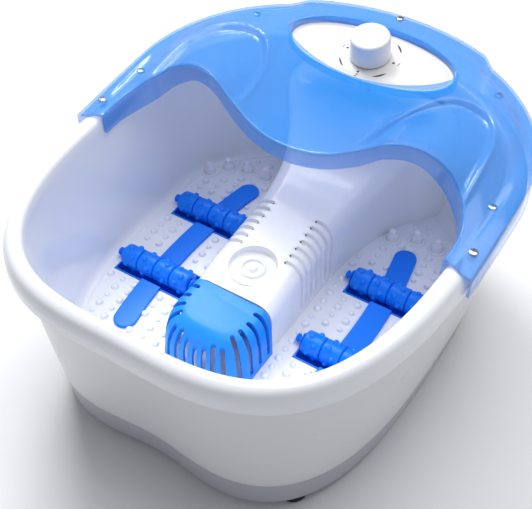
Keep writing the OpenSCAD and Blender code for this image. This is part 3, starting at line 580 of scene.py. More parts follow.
def node_group(name, inputs):
    """A geometry tree with a mesh in and out and named inputs; returns the tree and its input node."""
    tree = bpy.data.node_groups.new(name, "GeometryNodeTree")
    face = tree.interface
    face.new_socket("Geometry", in_out="INPUT", socket_type="NodeSocketGeometry")
    for label, kind in inputs:
        face.new_socket(label, in_out="INPUT", socket_type=kind)
    face.new_socket("Geometry", in_out="OUTPUT", socket_type="NodeSocketGeometry")
    return tree, tree.nodes.new("NodeGroupInput")


def set_inputs(modifier, values):
    """Set a tree's inputs by their identifiers."""
    for item in modifier.node_group.interface.items_tree:
        if item.item_type == "SOCKET" and item.in_out == "INPUT" and item.name in values:
            modifier[item.identifier] = values[item.name]


def scatter_tree():
    """Stand a shape on every point, scaled by the point's size and tipped along its direction."""
    tree, given = node_group(
        "Stand on points",
        [("Shape", "NodeSocketObject"), ("Body", "NodeSocketObject"), ("Scale", "NodeSocketFloat"),
         ("Material", "NodeSocketMaterial")],
    )
    shape = add(tree, "GeometryNodeObjectInfo", object=given.outputs["Shape"])
    body = add(tree, "GeometryNodeObjectInfo", object=given.outputs["Body"])
    size = add(tree, "GeometryNodeInputNamedAttribute", {"data_type": "FLOAT"}, name="size")
    along = add(tree, "GeometryNodeInputNamedAttribute", {"data_type": "FLOAT_VECTOR"}, name="along")
    tipped = add(
        tree, "FunctionNodeAlignRotationToVector", {"axis": "Z"}, vector=along.outputs["Attribute"]
    )
    scaled = add(tree, "ShaderNodeMath", {"operation": "MULTIPLY"})
    tree.links.new(size.outputs["Attribute"], scaled.inputs[0])
    tree.links.new(given.outputs["Scale"], scaled.inputs[1])
    stood = add(
        tree, "GeometryNodeInstanceOnPoints", points=given.outputs["Geometry"],
        instance=shape.outputs["Geometry"], rotation=tipped.outputs["Rotation"],
        scale=scaled.outputs["Value"]
    )
    both = add(tree, "GeometryNodeJoinGeometry")
    tree.links.new(stood.outputs["Instances"], both.inputs[0])
    tree.links.new(body.outputs["Geometry"], both.inputs[0])
    real = add(tree, "GeometryNodeRealizeInstances", geometry=both.outputs[0])
    dressed = add(
        tree, "GeometryNodeSetMaterial", geometry=real.outputs[0], material=given.outputs["Material"]
    )
    out = tree.nodes.new("NodeGroupOutput")
    tree.links.new(dressed.outputs[0], out.inputs[0])
    return tree


def stand_on_points(name, points, shape, material, towards=(0, 0, 1), scales=1.0, body=None):
    """Copies of a shape on points, made by the tree and baked to one mesh; helpers are removed."""
    host = make_mesh(name, points, [], smooth=False)
    size = [float(v) for v in np.broadcast_to(scales, len(points))]
    along = np.broadcast_to(np.asarray(towards, float), (len(points), 3)).ravel()
    host.data.attributes.new("size", "FLOAT", "POINT").data.foreach_set("value", size)
    host.data.attributes.new("along", "FLOAT_VECTOR", "POINT").data.foreach_set("vector", along)
    mod = host.modifiers.new("stand", "NODES")
    mod.node_group = bpy.data.node_groups.get("Stand on points") or scatter_tree()
    set_inputs(mod, {"Shape": shape, "Body": body, "Scale": 1.0, "Material": material_of(material)})
    baked(host)
    drop(shape)
    if body:
        drop(body)
    return host


# ---- plan outlines ----


def oval(angles, a, f, r, nf, nr, w):
    """Polar superellipse round the plan centre, with a waist of depth w in its front."""
    c, s = np.cos(angles), np.sin(angles)
    front = s < 0
    n = np.where(front, nf, nr)
    reach = np.where(front, f, r)
    d = (np.abs(c / a) ** n + np.abs(s / reach) ** n) ** (-1 / n)
    x = d * c
    dip = np.where(front, w * np.exp(-((x / 46) ** 2)), 0)
    return np.stack([x, PLAN_Y + d * s + dip], 1)


RING = 288
RING_ANGLES = np.linspace(0, 2 * math.pi, RING, endpoint=False)


def ring(z, *shape):
    flat = oval(RING_ANGLES, *shape)
    return np.column_stack([flat, np.full(RING, z)])


def basin_shape(s, d):
    """Outline of the basin's inner wall at share s from floor to rim, moved outwards by d."""
    return (
        OPEN_HALF_W - WALL_DRAFT * (1 - s) + d, OPEN_FRONT - FRONT_DRAFT * (1 - s) + d,
        OPEN_REAR - REAR_DRAFT * (1 - s) + d, FRONT_N, REAR_N, 0,
    )


def rim_shape(k, d):
    """Outline of the rim at share k of its width, moved outwards by d."""
    w = RIM_W * RIM_FRONT_SHARE * k
    return (
        OPEN_HALF_W + RIM_W * k + d, OPEN_FRONT + w + d, OPEN_REAR + w + d, FRONT_N - 0.3 * k,
        REAR_N, 1.5 * k,
    )


# The rim's roll from the wall to its outer face: share of its width, share of its drop
RIM_ROLL = [
    (0, 0.18), (0.1, 0.07), (0.3, 0), (0.55, 0.03), (0.78, 0.14), (0.93, 0.34), (1, 0.63), (1, 0.97),
]
FLOOR_FILLET = 8.0
BASIN_H = RIM_TOP - RIM_ROLL[0][1] * RIM_DROP - FLOOR


def rear_wall_y(x, z, d):
    """Where the basin's rear wall stands at half width x and height z."""
    s = (z - FLOOR) / BASIN_H
    a, _, r, _, n, _ = basin_shape(s, d)
    return PLAN_Y + r * (1 - np.abs(x / a) ** n) ** (1 / n)


def tray_box(side, y, grow, low, high):
    """Box round a roller tray."""
    half_x = ROLLER_LEN / 2 + TRAY_END + grow
    half_y = ROLLER_R + TRAY_SIDE + grow
    x = side * ROLLER_X
    return block("tray tool", (x - half_x, y - half_y, low), (x + half_x, y + half_y, high))


# ---- tub ----


def tub_rows():
    """Sections of the tub shell, from the floor up the wall, over the rim and back underneath."""
    rows = []
    for d, lift in ((-12, 0), (-9.6, 0), (-9.2, 0.35), (-8.6, 0.5), (-8.0, 0.45), (-7.6, 0.15)):
        rows.append(ring(FLOOR + lift, *basin_shape(0, d)))
    for a in np.linspace(-70, 0, 8):
        lift = FLOOR_FILLET * (1 + math.sin(math.radians(a)))
        rows.append(ring(FLOOR + lift, *basin_shape(0, -FLOOR_FILLET * (1 - math.cos(math.radians(a))))))
    for s in np.linspace(0.12, 0.94, 12):
        rows.append(ring(FLOOR + BASIN_H * s, *basin_shape(s, 0)))
    for k, drop_share in smooth_line(RIM_ROLL, 36):
        rows.append(ring(RIM_TOP - drop_share * RIM_DROP, *rim_shape(min(k, 1.0), 0)))
    rows.append(ring(RIM_TOP - RIM_DROP, *rim_shape(1, -0.6)))
    for k, drop_share in smooth_line(RIM_ROLL, 20)[::-1]:
        if 0.25 < k:
            inset = TUB_T if drop_share < 0.6 else 0
            rows.append(ring(RIM_TOP - drop_share * RIM_DROP - inset, *rim_shape(min(k, 1.0), -TUB_T)))
    for s in (0.85, 0.45, 0.1):
        rows.append(ring(FLOOR + BASIN_H * s, *basin_shape(s, TUB_T)))
    for a in (0, -45, -90):
        lift = FLOOR_FILLET * (1 + math.sin(math.radians(a)))
        inset = TUB_T - FLOOR_FILLET * (1 - math.cos(math.radians(a)))
        rows.append(ring(FLOOR - TUB_T + lift, *basin_shape(0, inset)))
    return rows


class FOOTSPA_OT_tub(bpy.types.Operator):
    """Make the tub's shell: floor with roller pockets, walls and rolled rim"""

    bl_idname = "footspa.tub"
    bl_label = "Tub shell"

    def execute(self, context):
        shell = loft("tub_shell", tub_rows())
        tools = [
            tray_box(side, y, 0.4, FLOOR - 12, FLOOR + 8) for side in (-1, 1) for y in ROLLER_YS.values()
        ]
        cut(shell, tools)
        finished(shell, 50, "gloss_white_abs", replaces=["tub"])
        return {"FINISHED"}


# Console rows: place along Y, half width, height of the top
CONSOLE_ROWS = [
    (NOSE_Y, CONSOLE_W - 1, -4.6), (-40, CONSOLE_W, -0.4), (0, CONSOLE_W, 4.4), (24, CONSOLE_W, 7.4),
    (50, CONSOLE_W + 3, 10), (75, CONSOLE_W + 8, 15), (95, CONSOLE_W + 15, 26),
    (112, CONSOLE_W + 23, 40), (122, CONSOLE_W + 31, 47.5), (131, CONSOLE_W + 37, 50),
]


def table_at(x, table):
    """Smooth values of a table's later columns at x of its first."""
    t = np.asarray(table, float)
    k = int(np.clip(np.searchsorted(t[:, 0], x, side="right") - 1, 0, len(t) - 2))
    h = t[k + 1, 0] - t[k, 0]
    s = min(1.0, max(0.0, (x - t[k, 0]) / h))
    first = (t[1] - t[0]) / (t[1, 0] - t[0, 0])
    last = (t[-1] - t[-2]) / (t[-1, 0] - t[-2, 0])
    ma = first if k == 0 else (t[k + 1] - t[k - 1]) / (t[k + 1, 0] - t[k - 1, 0])
    mb = last if k == len(t) - 2 else (t[k + 2] - t[k]) / (t[k + 2, 0] - t[k, 0])
    out = (
        t[k] * (2 * s**3 - 3 * s * s + 1) + ma * h * (s**3 - 2 * s * s + s)
        + t[k + 1] * (3 * s * s - 2 * s**3) + mb * h * (s**3 - s * s)
    )
    return out[1:]


def console_at(y):
    """Half width and top height of the console at y."""
    w, top = table_at(y, CONSOLE_ROWS)
    return w, CONSOLE_Z + top


# How far past the shoulder the grooves reach onto the top
GROOVE_END = 1.8
# A place far from the grooves, for the plain last section, and how far that one flares
GROOVELESS_Y = -500
END_FLARE = 8


def groove_share(y, along_top, down_side):
    """How deep an air groove is at a point of the console's flank, 0 to 1."""
    half = sizes().groove_w / MM / 2
    k = np.clip(np.round((y - SLOT_Y0) / SLOT_PITCH), 0, SLOT_N - 1)
    off = np.abs(y - (SLOT_Y0 + k * SLOT_PITCH))
    past_end = np.maximum(0, np.maximum(along_top + half - GROOVE_END, down_side))
    d = np.hypot(off, past_end)
    return ease((half + 0.3 - d) / 0.6)


def console_section(y, half_w, top, low, arc_steps=22):
    """Points of the console's section from its left foot over the top to its right foot."""
    r = SHOULDER_R
    side = []
    foot_z = FLOOR + 6
    straight = top - r - low
    for s in np.linspace(0, 1, 15):
        z = low + straight * s
        side.append((half_w, z, 1.0, 0.0, 0.0, max(0.0, foot_z - z)))
    for a in np.linspace(0, math.pi / 2, arc_steps)[1:]:
        c, s = math.cos(a), math.sin(a)
        side.append((half_w - r + r * c, top - r + r * s, c, s, 0.0, 0.0))
    flat = half_w - r
    for s in np.linspace(0, 1, 12)[1:]:
        side.append((flat * (1 - s), top, 0.0, 1.0, flat * s, 0.0))
    side = np.array(side)
    depth = sizes().groove_depth / MM * groove_share(y, side[:, 4], side[:, 5])
    x = side[:, 0] - side[:, 2] * depth
    z = side[:, 1] - side[:, 3] * depth
    right = np.column_stack([x, np.full(len(x), y), z])
    left = right[:-1][::-1] * [-1, 1, 1]
    return np.concatenate([right, left])


def console_ys():
    """Section places: dense across the grooves, coarser elsewhere."""
    start = SLOT_Y0 - SLOT_PITCH / 2
    end = SLOT_Y0 + (SLOT_N - 0.5) * SLOT_PITCH
    grooves = np.arange(start, end, 0.3)
    front = np.linspace(NOSE_Y, start - 0.5, 16)
    rear = np.linspace(end + 0.5, CONSOLE_ROWS[-1][0], 40)
    return np.concatenate([front, grooves, rear])


def seat_profile(top):
    """Profile of the round seat inside the console's top, from its floor to its rolled lip."""
    floor = top - 4.2
    return [
        (0, floor + 2.9), (1.8, floor + 2.75), (3, floor + 2.2), (3.6, floor + 1.2), (4, floor + 0.25),
        (4.6, floor), (7.2, floor), (7.8, floor + 0.3), (8.2, floor + 1.6), (8.7, floor + 2.1),
        (9.4, floor + 2.1), (9.9, floor + 1.6), (10.3, floor + 0.4), (10.9, floor), (16.8, floor),
        (17.8, floor + 0.3), (18.4, floor + 1), (18.8, floor + 2.2),
    ]


class FOOTSPA_OT_console(bpy.types.Operator):
    """Make the console between the feet, with its air grooves, black plugs of painted shade for its air
    holes, and round seat
    """

    bl_idname = "footspa.console"
    bl_label = "Console"

    def execute(self, context):
        low = FLOOR - 1
        rows = []
        for y in console_ys():
            w, top = console_at(y)
            rows.append(console_section(y, w, top, low))
        w, top = console_at(CONSOLE_ROWS[-1][0])
        end = console_section(GROOVELESS_Y, w + END_FLARE, top, low)
        end[:, 1] = rear_wall_y(end[:, 0], end[:, 2], 1.2)
        rows.append(end)
        console = loft("console", rows)
        seat_top = console_at(SEAT_Y)[1]
        low, high = seat_top - 9, seat_top + 5
        well = lathe("well tool", [(0, low), (SEAT_R, low), (SEAT_R, high), (0, high)])
        cut(console, [place(well, shift(0, SEAT_Y, 0))])
        finished(console, 35, "gloss_white_abs")
        self.make_seat(seat_top)
        self.make_painted_hole_shade()
        return {"FINISHED"}

    def make_seat(self, top):
        """The seat follows the console's slope at its lip."""
        turns = 96
        angles = np.linspace(0, 2 * math.pi, turns, endpoint=False)

        def seat_ring(r, z):
            return np.column_stack([r * np.cos(angles), SEAT_Y + r * np.sin(angles), np.full(turns, z)])

        rows = []
        for r, z in seat_profile(top)[1:]:
            rows.append(seat_ring(r, z))
        for r, drop_mm in ((18.95, 0.8), (19.2, 0.25), (19.7, 0.0), (20.3, -0.02), (20.5, 0.6)):
            y = SEAT_Y + r * np.sin(angles)
            z = np.array([console_at(v)[1] for v in y]) - drop_mm
            rows.append(np.column_stack([r * np.cos(angles), y, z]))
        seat = loft("console_seat", rows + [seat_ring(r, top - 6.5) for r in (20.5, 2.0)])
        finished(seat, 60, "gloss_white_abs")

    def make_painted_hole_shade(self):
        """Black plugs at the top end of each groove: painted shade that stands in for the dark air holes."""
        points, towards = [], []
        for k in range(SLOT_N):
            y = SLOT_Y0 + k * SLOT_PITCH
            w, top = console_at(y)
            for side in (-1, 1):
                points.append((side * (w - SHOULDER_R - GROOVE_END + 0.35), y, top - 1.55))
                towards.append((side, 0, 0))
        # The plug is a shallow black disc on the groove's end, not a hole: painted shade.
        plug = lathe("hole", [(0, 0.3), (1.0, 0.3), (1.15, 0.2), (1.2, -1.0), (0, -1.0)], 20)
        shade_plugs = stand_on_points("air_holes", points, plug, "black_abs", towards)
        finished(shade_plugs, 50, "black_abs")


# ---- nubs on the floor ----


def dome_profile(r, h):
    """A nub: a round dome that meets the floor with a short foot."""
    skirt = [(r + 0.35, -0.4), (r + 0.35, 0.0), (r + 0.12, 0.15)]
    dome = [(r * math.cos(a), 0.3 + (h - 0.3) * math.sin(a)) for a in np.linspace(0.15, 1.35, 6)]
    return skirt + dome + [(0, h)]


def floor_reach(x, y):
    """How far inside the flat floor a point lies: the wall's superellipse share, below 1 inside."""
    a, f, r, nf, nr, _ = basin_shape(0, -FLOOR_FILLET - 1)
    dy = y - PLAN_Y
    n, reach = (nf, f) if dy < 0 else (nr, r)
    return (abs(x) / a) ** n + (abs(dy) / reach) ** n


STRIP_BEND_R = 475.0
STRIP_HALF = 87.0
STRIP_Y = (ROLLER_YS["front"] + ROLLER_YS["rear"]) / 2 - 4.75


def strip_distance(x, y):
    """Distance of a point of the right foot well from the strip's centre line."""
    cx = ROLLER_X - STRIP_BEND_R
    angle = math.atan2(y - STRIP_Y, x - cx)
    limit = math.asin(STRIP_HALF / STRIP_BEND_R)
    angle = max(-limit, min(limit, angle))
    dx, dy = x - cx - STRIP_BEND_R * math.cos(angle), y - STRIP_Y - STRIP_BEND_R * math.sin(angle)
    return math.hypot(dx, dy)


# Where the console's top has risen to the guard
CONSOLE_FLAT_Y = 130
# First nub of the grid, the share of the floor that nubs may use, and half the heel room's width
NUB_X0, NUB_Y0 = 43, 8.7
FLOOR_EDGE = 0.97
HEEL_HALF_W = 38
# Tall fingers of the right well
FINGERS = [(57, 90.5), (75.5, 99.5), (94.5, 99), (111.5, 93), (123, 79)]


def nub_places():
    """Places and sizes of the floor nubs of the right foot well, on a staggered grid."""
    s = sizes()
    px, py = s.nub_pitch_x / MM, s.nub_pitch_y / MM
    out = []
    for i in range(8):
        for j in range(-17, 12):
            x, y = NUB_X0 + i * px, NUB_Y0 + j * py
            big = (i + j) % 2 == 0
            r = (s.nub_large if big else s.nub_small) / MM
            in_tray = any(
                abs(x - ROLLER_X) < ROLLER_LEN / 2 + 4 + r and abs(y - ty) < ROLLER_R + 6.5 + r
                for ty in ROLLER_YS.values()
            )
            if y > NOSE_Y:
                near_console = x - r < console_at(min(y, CONSOLE_FLAT_Y))[0] + 1
            else:
                near_console = x - r < CONSOLE_W + 4 and y > CAP_LOW[1] - r - 2
            near_finger = any(math.hypot(x - fx, y - fy) < 8.6 + r for fx, fy in FINGERS)
            on_strip = strip_distance(x, y) < STRIP_W / 2 + r * 0.35
            if floor_reach(x, y) > FLOOR_EDGE or in_tray or near_console or near_finger or on_strip:
                continue
            out.append((x, y, big))
    for j in range(4):
        y = CAP_LOW[1] - 7 - j * py
        for i in (-2, -1, 0, 1, 2):
            x = i * px * 1.3 + (px * 0.65 if j % 2 else 0)
            if floor_reach(x, y) < FLOOR_EDGE and abs(x) < HEEL_HALF_W:
                out.append((x, y, j % 2 == 0))
    return out


class FOOTSPA_OT_nubs(bpy.types.Operator):
    """Scatter the two sizes of massage nubs over both foot wells"""

    bl_idname = "footspa.nubs"
    bl_label = "Floor nubs"

    def execute(self, context):
        points, scales = [], []
        s = sizes()
        ratio = s.nub_small / s.nub_large
        for x, y, big in nub_places():
            for side in ((1, -1) if abs(x) > HEEL_HALF_W else (1,)):
                points.append((side * x, y, FLOOR))
                scales.append(1.0 if big else ratio)
        dome = lathe("dome", dome_profile(s.nub_large / MM - 0.25, 2.7), 20)
        nubs = stand_on_points("floor_nubs", points, dome, "gloss_white_abs", scales=scales)
        finished(nubs, 75, "gloss_white_abs")
        self.make_fingers()
        return {"FINISHED"}

    def make_fingers(self):
        """Tall pressure fingers in rings, in an arc under the toes."""
        profile = [
            (7.6, -0.4), (7.6, 0.2), (7.2, 1.2), (6.3, 1.7), (5.5, 1.4), (5.1, 0.6), (4.9, 0.5), (4.7, 0.9),
            (4.5, 5.2), (4.1, 6.1), (3.4, 6.5), (3.1, 7.2), (3.0, 9.6), (2.6, 10.7), (1.8, 11.4),
            (0.9, 11.75), (0, 11.85),
        ]
        finger = lathe("finger", profile, 40)
        points = [(side * x, y, FLOOR) for x, y in FINGERS for side in (-1, 1)]
        fingers = stand_on_points("pressure_fingers", points, finger, "gloss_white_abs")
        finished(fingers, 70, "gloss_white_abs")


# ---- casing and base ----

CASING_DRAFT = 19.3
WAIST_LOW, WAIST_TOP = 7.6, 2.8


def casing_shape(z, d):
    """Outline of the casing at height z, moved outwards by d."""
    s = (z - FOOT_H) / (RIM_TOP - RIM_DROP - FOOT_H)
    return (
        OPEN_HALF_W - 6 + CASING_DRAFT * s + d, OPEN_FRONT - 7.6 + 14.5 * s + d,
        OPEN_REAR - 2 + 13 * s + d, 3.57 - 0.4 * s, REAR_N, WAIST_LOW + (WAIST_TOP - WAIST_LOW) * s,
    )


class FOOTSPA_OT_casing(bpy.types.Operator):
    """Make the outer casing and the grey base with its rounded foot edge"""

    bl_idname = "footspa.casing"
    bl_label = "Casing and base"

    def execute(self, context):
        top = CASING_HIGH[2]
        outside = [(BAND_TOP + 0.05, -0.5), (BAND_TOP + 0.3, -0.15), (BAND_TOP + 0.8, 0)]
        outside += [(z, 0) for z in np.linspace(BAND_TOP + 8, top, 14)]
        inside = [(z, -2.5) for z in np.linspace(top, BAND_TOP + 8, 6)] + [(BAND_TOP + 0.05, -2.4)]
        rows = [ring(z, *casing_shape(z, d)) for z, d in outside + inside]
        casing = loft("casing_shell", rows, loop_rows=True)
        # The casing's greyer colour is painted shade.
        finished(casing, 40, "casing_white_abs", replaces=["outer_casing"])
        out = [
            (BASE_HIGH[2] - 0.5, -2.5), (BAND_TOP - 0.1, -1.0), (BAND_TOP - 0.4, -0.6),
            (BAND_TOP - 0.9, -0.5),
        ]
        out += [(z, -0.5) for z in np.linspace(BAND_TOP - 6, FOOT_H + 5, 5)]
        out += [(FOOT_H + 3, -0.5), (FOOT_H + 1.6, -0.8), (FOOT_H + 0.6, -1.5), (FOOT_H, -2.7)]
        floor_in = [(FOOT_H + 3, -2.5)]
        rows = [ring(z, *casing_shape(z, d)) for z, d in floor_in + out]
        base = loft("base_pan", rows)
        finished(base, 40, "satin_grey_abs", replaces=["base_shell"])
        return {"FINISHED"}


# ---- splash guard ----

GUARD_ROWS = [
    (0.00, 138.7, -27, -13, 4.0, 3.6, 3.8, 3.9, 4.0),
    (0.14, 139.2, -8, -12.5, 6, 5.2, 5.5, 5.7, 5.9),
    (0.26, 135, 8, -11, 10, 8, 9, 9.6, 10),
    (0.36, 126, 21, -5, 17, 13, 15, 16.5, 17),
    (0.46, 112, 28, 8, 27, 19, 22, 25, 27),
    (0.58, 92, 28, 20, 34, 23, 25.5, 28.5, 32),
    (0.70, 71, 22, 20, 33.5, 23.5, 24, 25.5, 30),
    (0.80, 52, 16, 9, 24, 23, 21, 19.5, 21.5),
    (0.90, 28, 8.5, 1.5, 15, 22.5, 18, 14.5, 13.5),
    (1.00, 0, 5, -1, 12.5, 22.5, 16.8, 12.8, 11.5),
    (1.10, -28, 8.5, 1.5, 15, 22.5, 18, 14.5, 13.5),
]
GUARD_TIP_ANGLE = math.radians(-27.5)
REAR_BULGE = 6.9
REAR_BULGE_HALF = 92
GUARD_TIP_Y = -33
GUARD_SECTIONS = 401
CROWN_SAMPLES = 58
LEDGE_W, SHOULDER_W = 12, 20


def guard_outer(angle):
    """Plan point of the guard's outer edge at an angle, with its bulge behind the panel."""
    share = RIM_W * RIM_FRONT_SHARE + GUARD_T + GUARD_GAP
    side = RIM_W + GUARD_T + GUARD_GAP
    p = oval(
        np.array([angle]), OPEN_HALF_W + side, OPEN_FRONT + share, OPEN_REAR + share, FRONT_N, REAR_N, 0
    )[0]
    bulge = REAR_BULGE * ease((REAR_BULGE_HALF - abs(p[0])) / 14) if p[1] > PLAN_Y else 0
    return np.array([p[0], p[1] + bulge])


def guard_ledge(y):
    """Height over the rim of the flat that the guard's screws sit on; it rises to the rear."""
    return 0.5 + 0.097 * (y - GUARD_TIP_Y)


def guard_frame(v):
    """Outer point, inward direction and flat outline of the guard's section at v."""
    u = v if v <= 1 else 2 - v
    ix, iy, flange, lip_h, shoulder, q1, q2, q3 = table_at(u, GUARD_ROWS)
    o = guard_outer(GUARD_TIP_ANGLE + (math.pi / 2 - GUARD_TIP_ANGLE) * u)
    e = np.array([ix, iy])
    run = np.linalg.norm(e - o)
    w = min(1, run / 60)
    ledge = guard_ledge(o[1])
    lw = LEDGE_W * (0.55 + 0.45 * w)
    sw = lw + (SHOULDER_W - LEDGE_W) * (0.45 + 0.55 * w)
    lip = run - 1.5
    crown = smooth_line(
        [(sw, max(shoulder, ledge + 0.8))]
        + [(sw + (lip - sw) * k / 4, h) for k, h in ((1, q1), (2, q2), (3, q3))] + [(lip, lip_h)],
        CROWN_SAMPLES)
    start = rounded(
        [(0, -16), (0, ledge - 1.6), (1.6, ledge), (lw, ledge + 0.4), crown[0], crown[1]],
        [0, 1.2, 1.2, 2.0, 3.0, 0], 6)[:-1]
    end = rounded([crown[-2], crown[-1], (run, lip_h - 2), (run, flange)], [0, 1.6, 1.6, 0], 5)[1:]
    outline = np.concatenate([start, crown[2:-2], end])
    return o, (e - o) / run, outline


# Plan outline of the dish over the right foot's toes
SCOOP_EDGE = [
    (48, 12), (50, 40), (57, 69), (68, 92), (83, 106), (101, 106), (118, 97), (127, 78), (130, 58),
    (131, 36), (131, 14),
]
SCOOP_LINE = smooth_line(SCOOP_EDGE, 160)
SCOOP_DEPTH = 4.2
SCOOP_BEAD = 0.9


def scoop_depth(x, y, lip_share):
    """How far the guard's crown is dished over the toes at points in plan."""
    far = SCOOP_LINE - np.column_stack([np.abs(x), y])[:, None, :]
    d = np.min(np.hypot(far[..., 0], far[..., 1]), axis=1)
    signed = np.where(inside_scoop(np.abs(x), y), d, -d)
    dish = SCOOP_DEPTH * ease((signed - 1.0) / 5.0)
    bead = SCOOP_BEAD * np.exp(-((signed + 0.4) / 1.5) ** 2)
    return (dish - bead) * ease((1 - lip_share) / 0.1) * ease((lip_share - 0.14) / 0.06)


def inside_scoop(x, y):
    """Whether points lie inside the closed outline of the scoop."""
    x1, y1 = SCOOP_LINE[:, 0], SCOOP_LINE[:, 1]
    x2, y2 = np.roll(x1, -1), np.roll(y1, -1)
    x, y = x[:, None], y[:, None]
    run = np.where(np.abs(y2 - y1) < 1e-9, 1e-9, y2 - y1)
    crosses = ((y1 > y) != (y2 > y)) & (x < (x2 - x1) * (y - y1) / run + x1)
    return np.sum(crosses, axis=1) % 2 == 1


def offset_outline(p, d):
    """A flat polyline moved by d to its left."""
    u = np.gradient(p, axis=0)
    u /= np.maximum(np.linalg.norm(u, axis=1), 1e-9)[:, None]
    return p + np.column_stack([-u[:, 1], u[:, 0]]) * d


def guard_section(v):
    """Closed section of the guard's shell: v runs from one tip to the other, 0 to 2."""
    o, towards, outline = guard_frame(v)
    side = 1 if v <= 1 else -1
    outer = outline.copy()
    plan = o + np.outer(outline[:, 0], towards)
    outer[:, 1] -= scoop_depth(plan[:, 0], plan[:, 1], outline[:, 0] / outline[-1][0])
    inner = offset_outline(outer, -GUARD_T)
    flat = np.concatenate([outer, inner[::-1]])
    return np.array([
        (side * (o[0] + towards[0] * s), o[1] + towards[1] * s, RIM_TOP + h) for s, h in flat
    ])


def on_panel():
    """Matrix of the tilted control panel, in millimetres."""
    return Matrix.Translation((0, PANEL_Y, PANEL_Z)) @ Matrix.Rotation(PANEL_TILT, 4, "X")


def oval_ring(a, b, z, n=160):
    t = np.linspace(0, 2 * math.pi, n, endpoint=False)
    height = z(t) if callable(z) else np.full(n, z)
    return np.column_stack([a * np.cos(t), b * np.sin(t), height])


class FOOTSPA_OT_guard(bpy.types.Operator):
    """Make the tinted splash guard with its dished arches, and the collar round the panel"""

    bl_idname = "footspa.guard"
    bl_label = "Splash guard"

    def execute(self, context):
        shell = loft("guard_shell", [guard_section(v) for v in np.linspace(0, 2, GUARD_SECTIONS)])
        hole = loft("hole tool", [oval_ring(PANEL_A + 1.5, PANEL_B + 1.5, z) for z in (-25, 25)])
        cut(shell, [place(hole, on_panel())])
        finished(shell, 38, "tinted_styrene", replaces=["splash_guard"])
        self.make_collar()
        return {"FINISHED"}

    def make_collar(self):
        """Wall and floor of the recess that holds the panel; it stands higher at the rear."""
        def rim(base):
            return lambda t: base + 5.0 * ease((np.sin(t) + 0.75) / 1.6)
        grow = [
            (0.3, lambda t: 0 * t - PANEL_T), (0.3, rim(0.2)), (0.7, rim(0.9)), (1.5, rim(1.2)),
            (2.4, rim(1.0)), (2.9, rim(0.3)), (3.1, lambda t: 0 * t - 5.0), (-6.0, lambda t: 0 * t - 5.0),
            (-6.0, lambda t: 0 * t - PANEL_T - 0.05),
        ]
        rows = [oval_ring(PANEL_A + d, PANEL_B + d, z) for d, z in grow]
        collar = loft("panel_collar", rows, loop_rows=True)
        place(collar, on_panel())
        finished(collar, 50, "tinted_styrene")


# ---- panel, marks and knob ----


def flat_text(body, size_mm):
    """A digit as a thin mesh, centred."""
    curve = bpy.data.curves.new("digit", "FONT")
    curve.body = body
    curve.size = size_mm * MM
    curve.extrude = 0.00006
    curve.align_x = "CENTER"
    curve.align_y = "CENTER"
    curve.shear = 0.15
    made = bpy.data.objects.new("digit", curve)
    bpy.context.scene.collection.objects.link(made)
    bpy.context.view_layer.update()
    graph = bpy.context.evaluated_depsgraph_get()
    mesh = bpy.data.meshes.new_from_object(made.evaluated_get(graph), depsgraph=graph)
    obj = bpy.data.objects.new("digit", mesh)
    bpy.context.scene.collection.objects.link(obj)
    bpy.data.objects.remove(made)
    bpy.data.curves.remove(curve)
    return obj


INK_T = 0.12
DIAL_R = 24.2


def dial_arc(radius, start, end):
    """A tapered arc that shows which way the knob turns."""
    t = np.linspace(0, 1, 24)
    a = np.radians(start + (end - start) * t)
    half = 0.75 * np.sin(math.pi * np.clip(t * 0.92 + 0.04, 0, 1)) + 0.05
    rows = []
    for k in range(len(t)):
        c, s = math.cos(a[k]), math.sin(a[k])
        r0, r1 = radius - half[k], radius + half[k]
        rows.append([(r * c, r * s, z) for r, z in ((r0, 0), (r1, 0), (r1, INK_T), (r0, INK_T))])
    return loft("arc", rows, smooth=False)


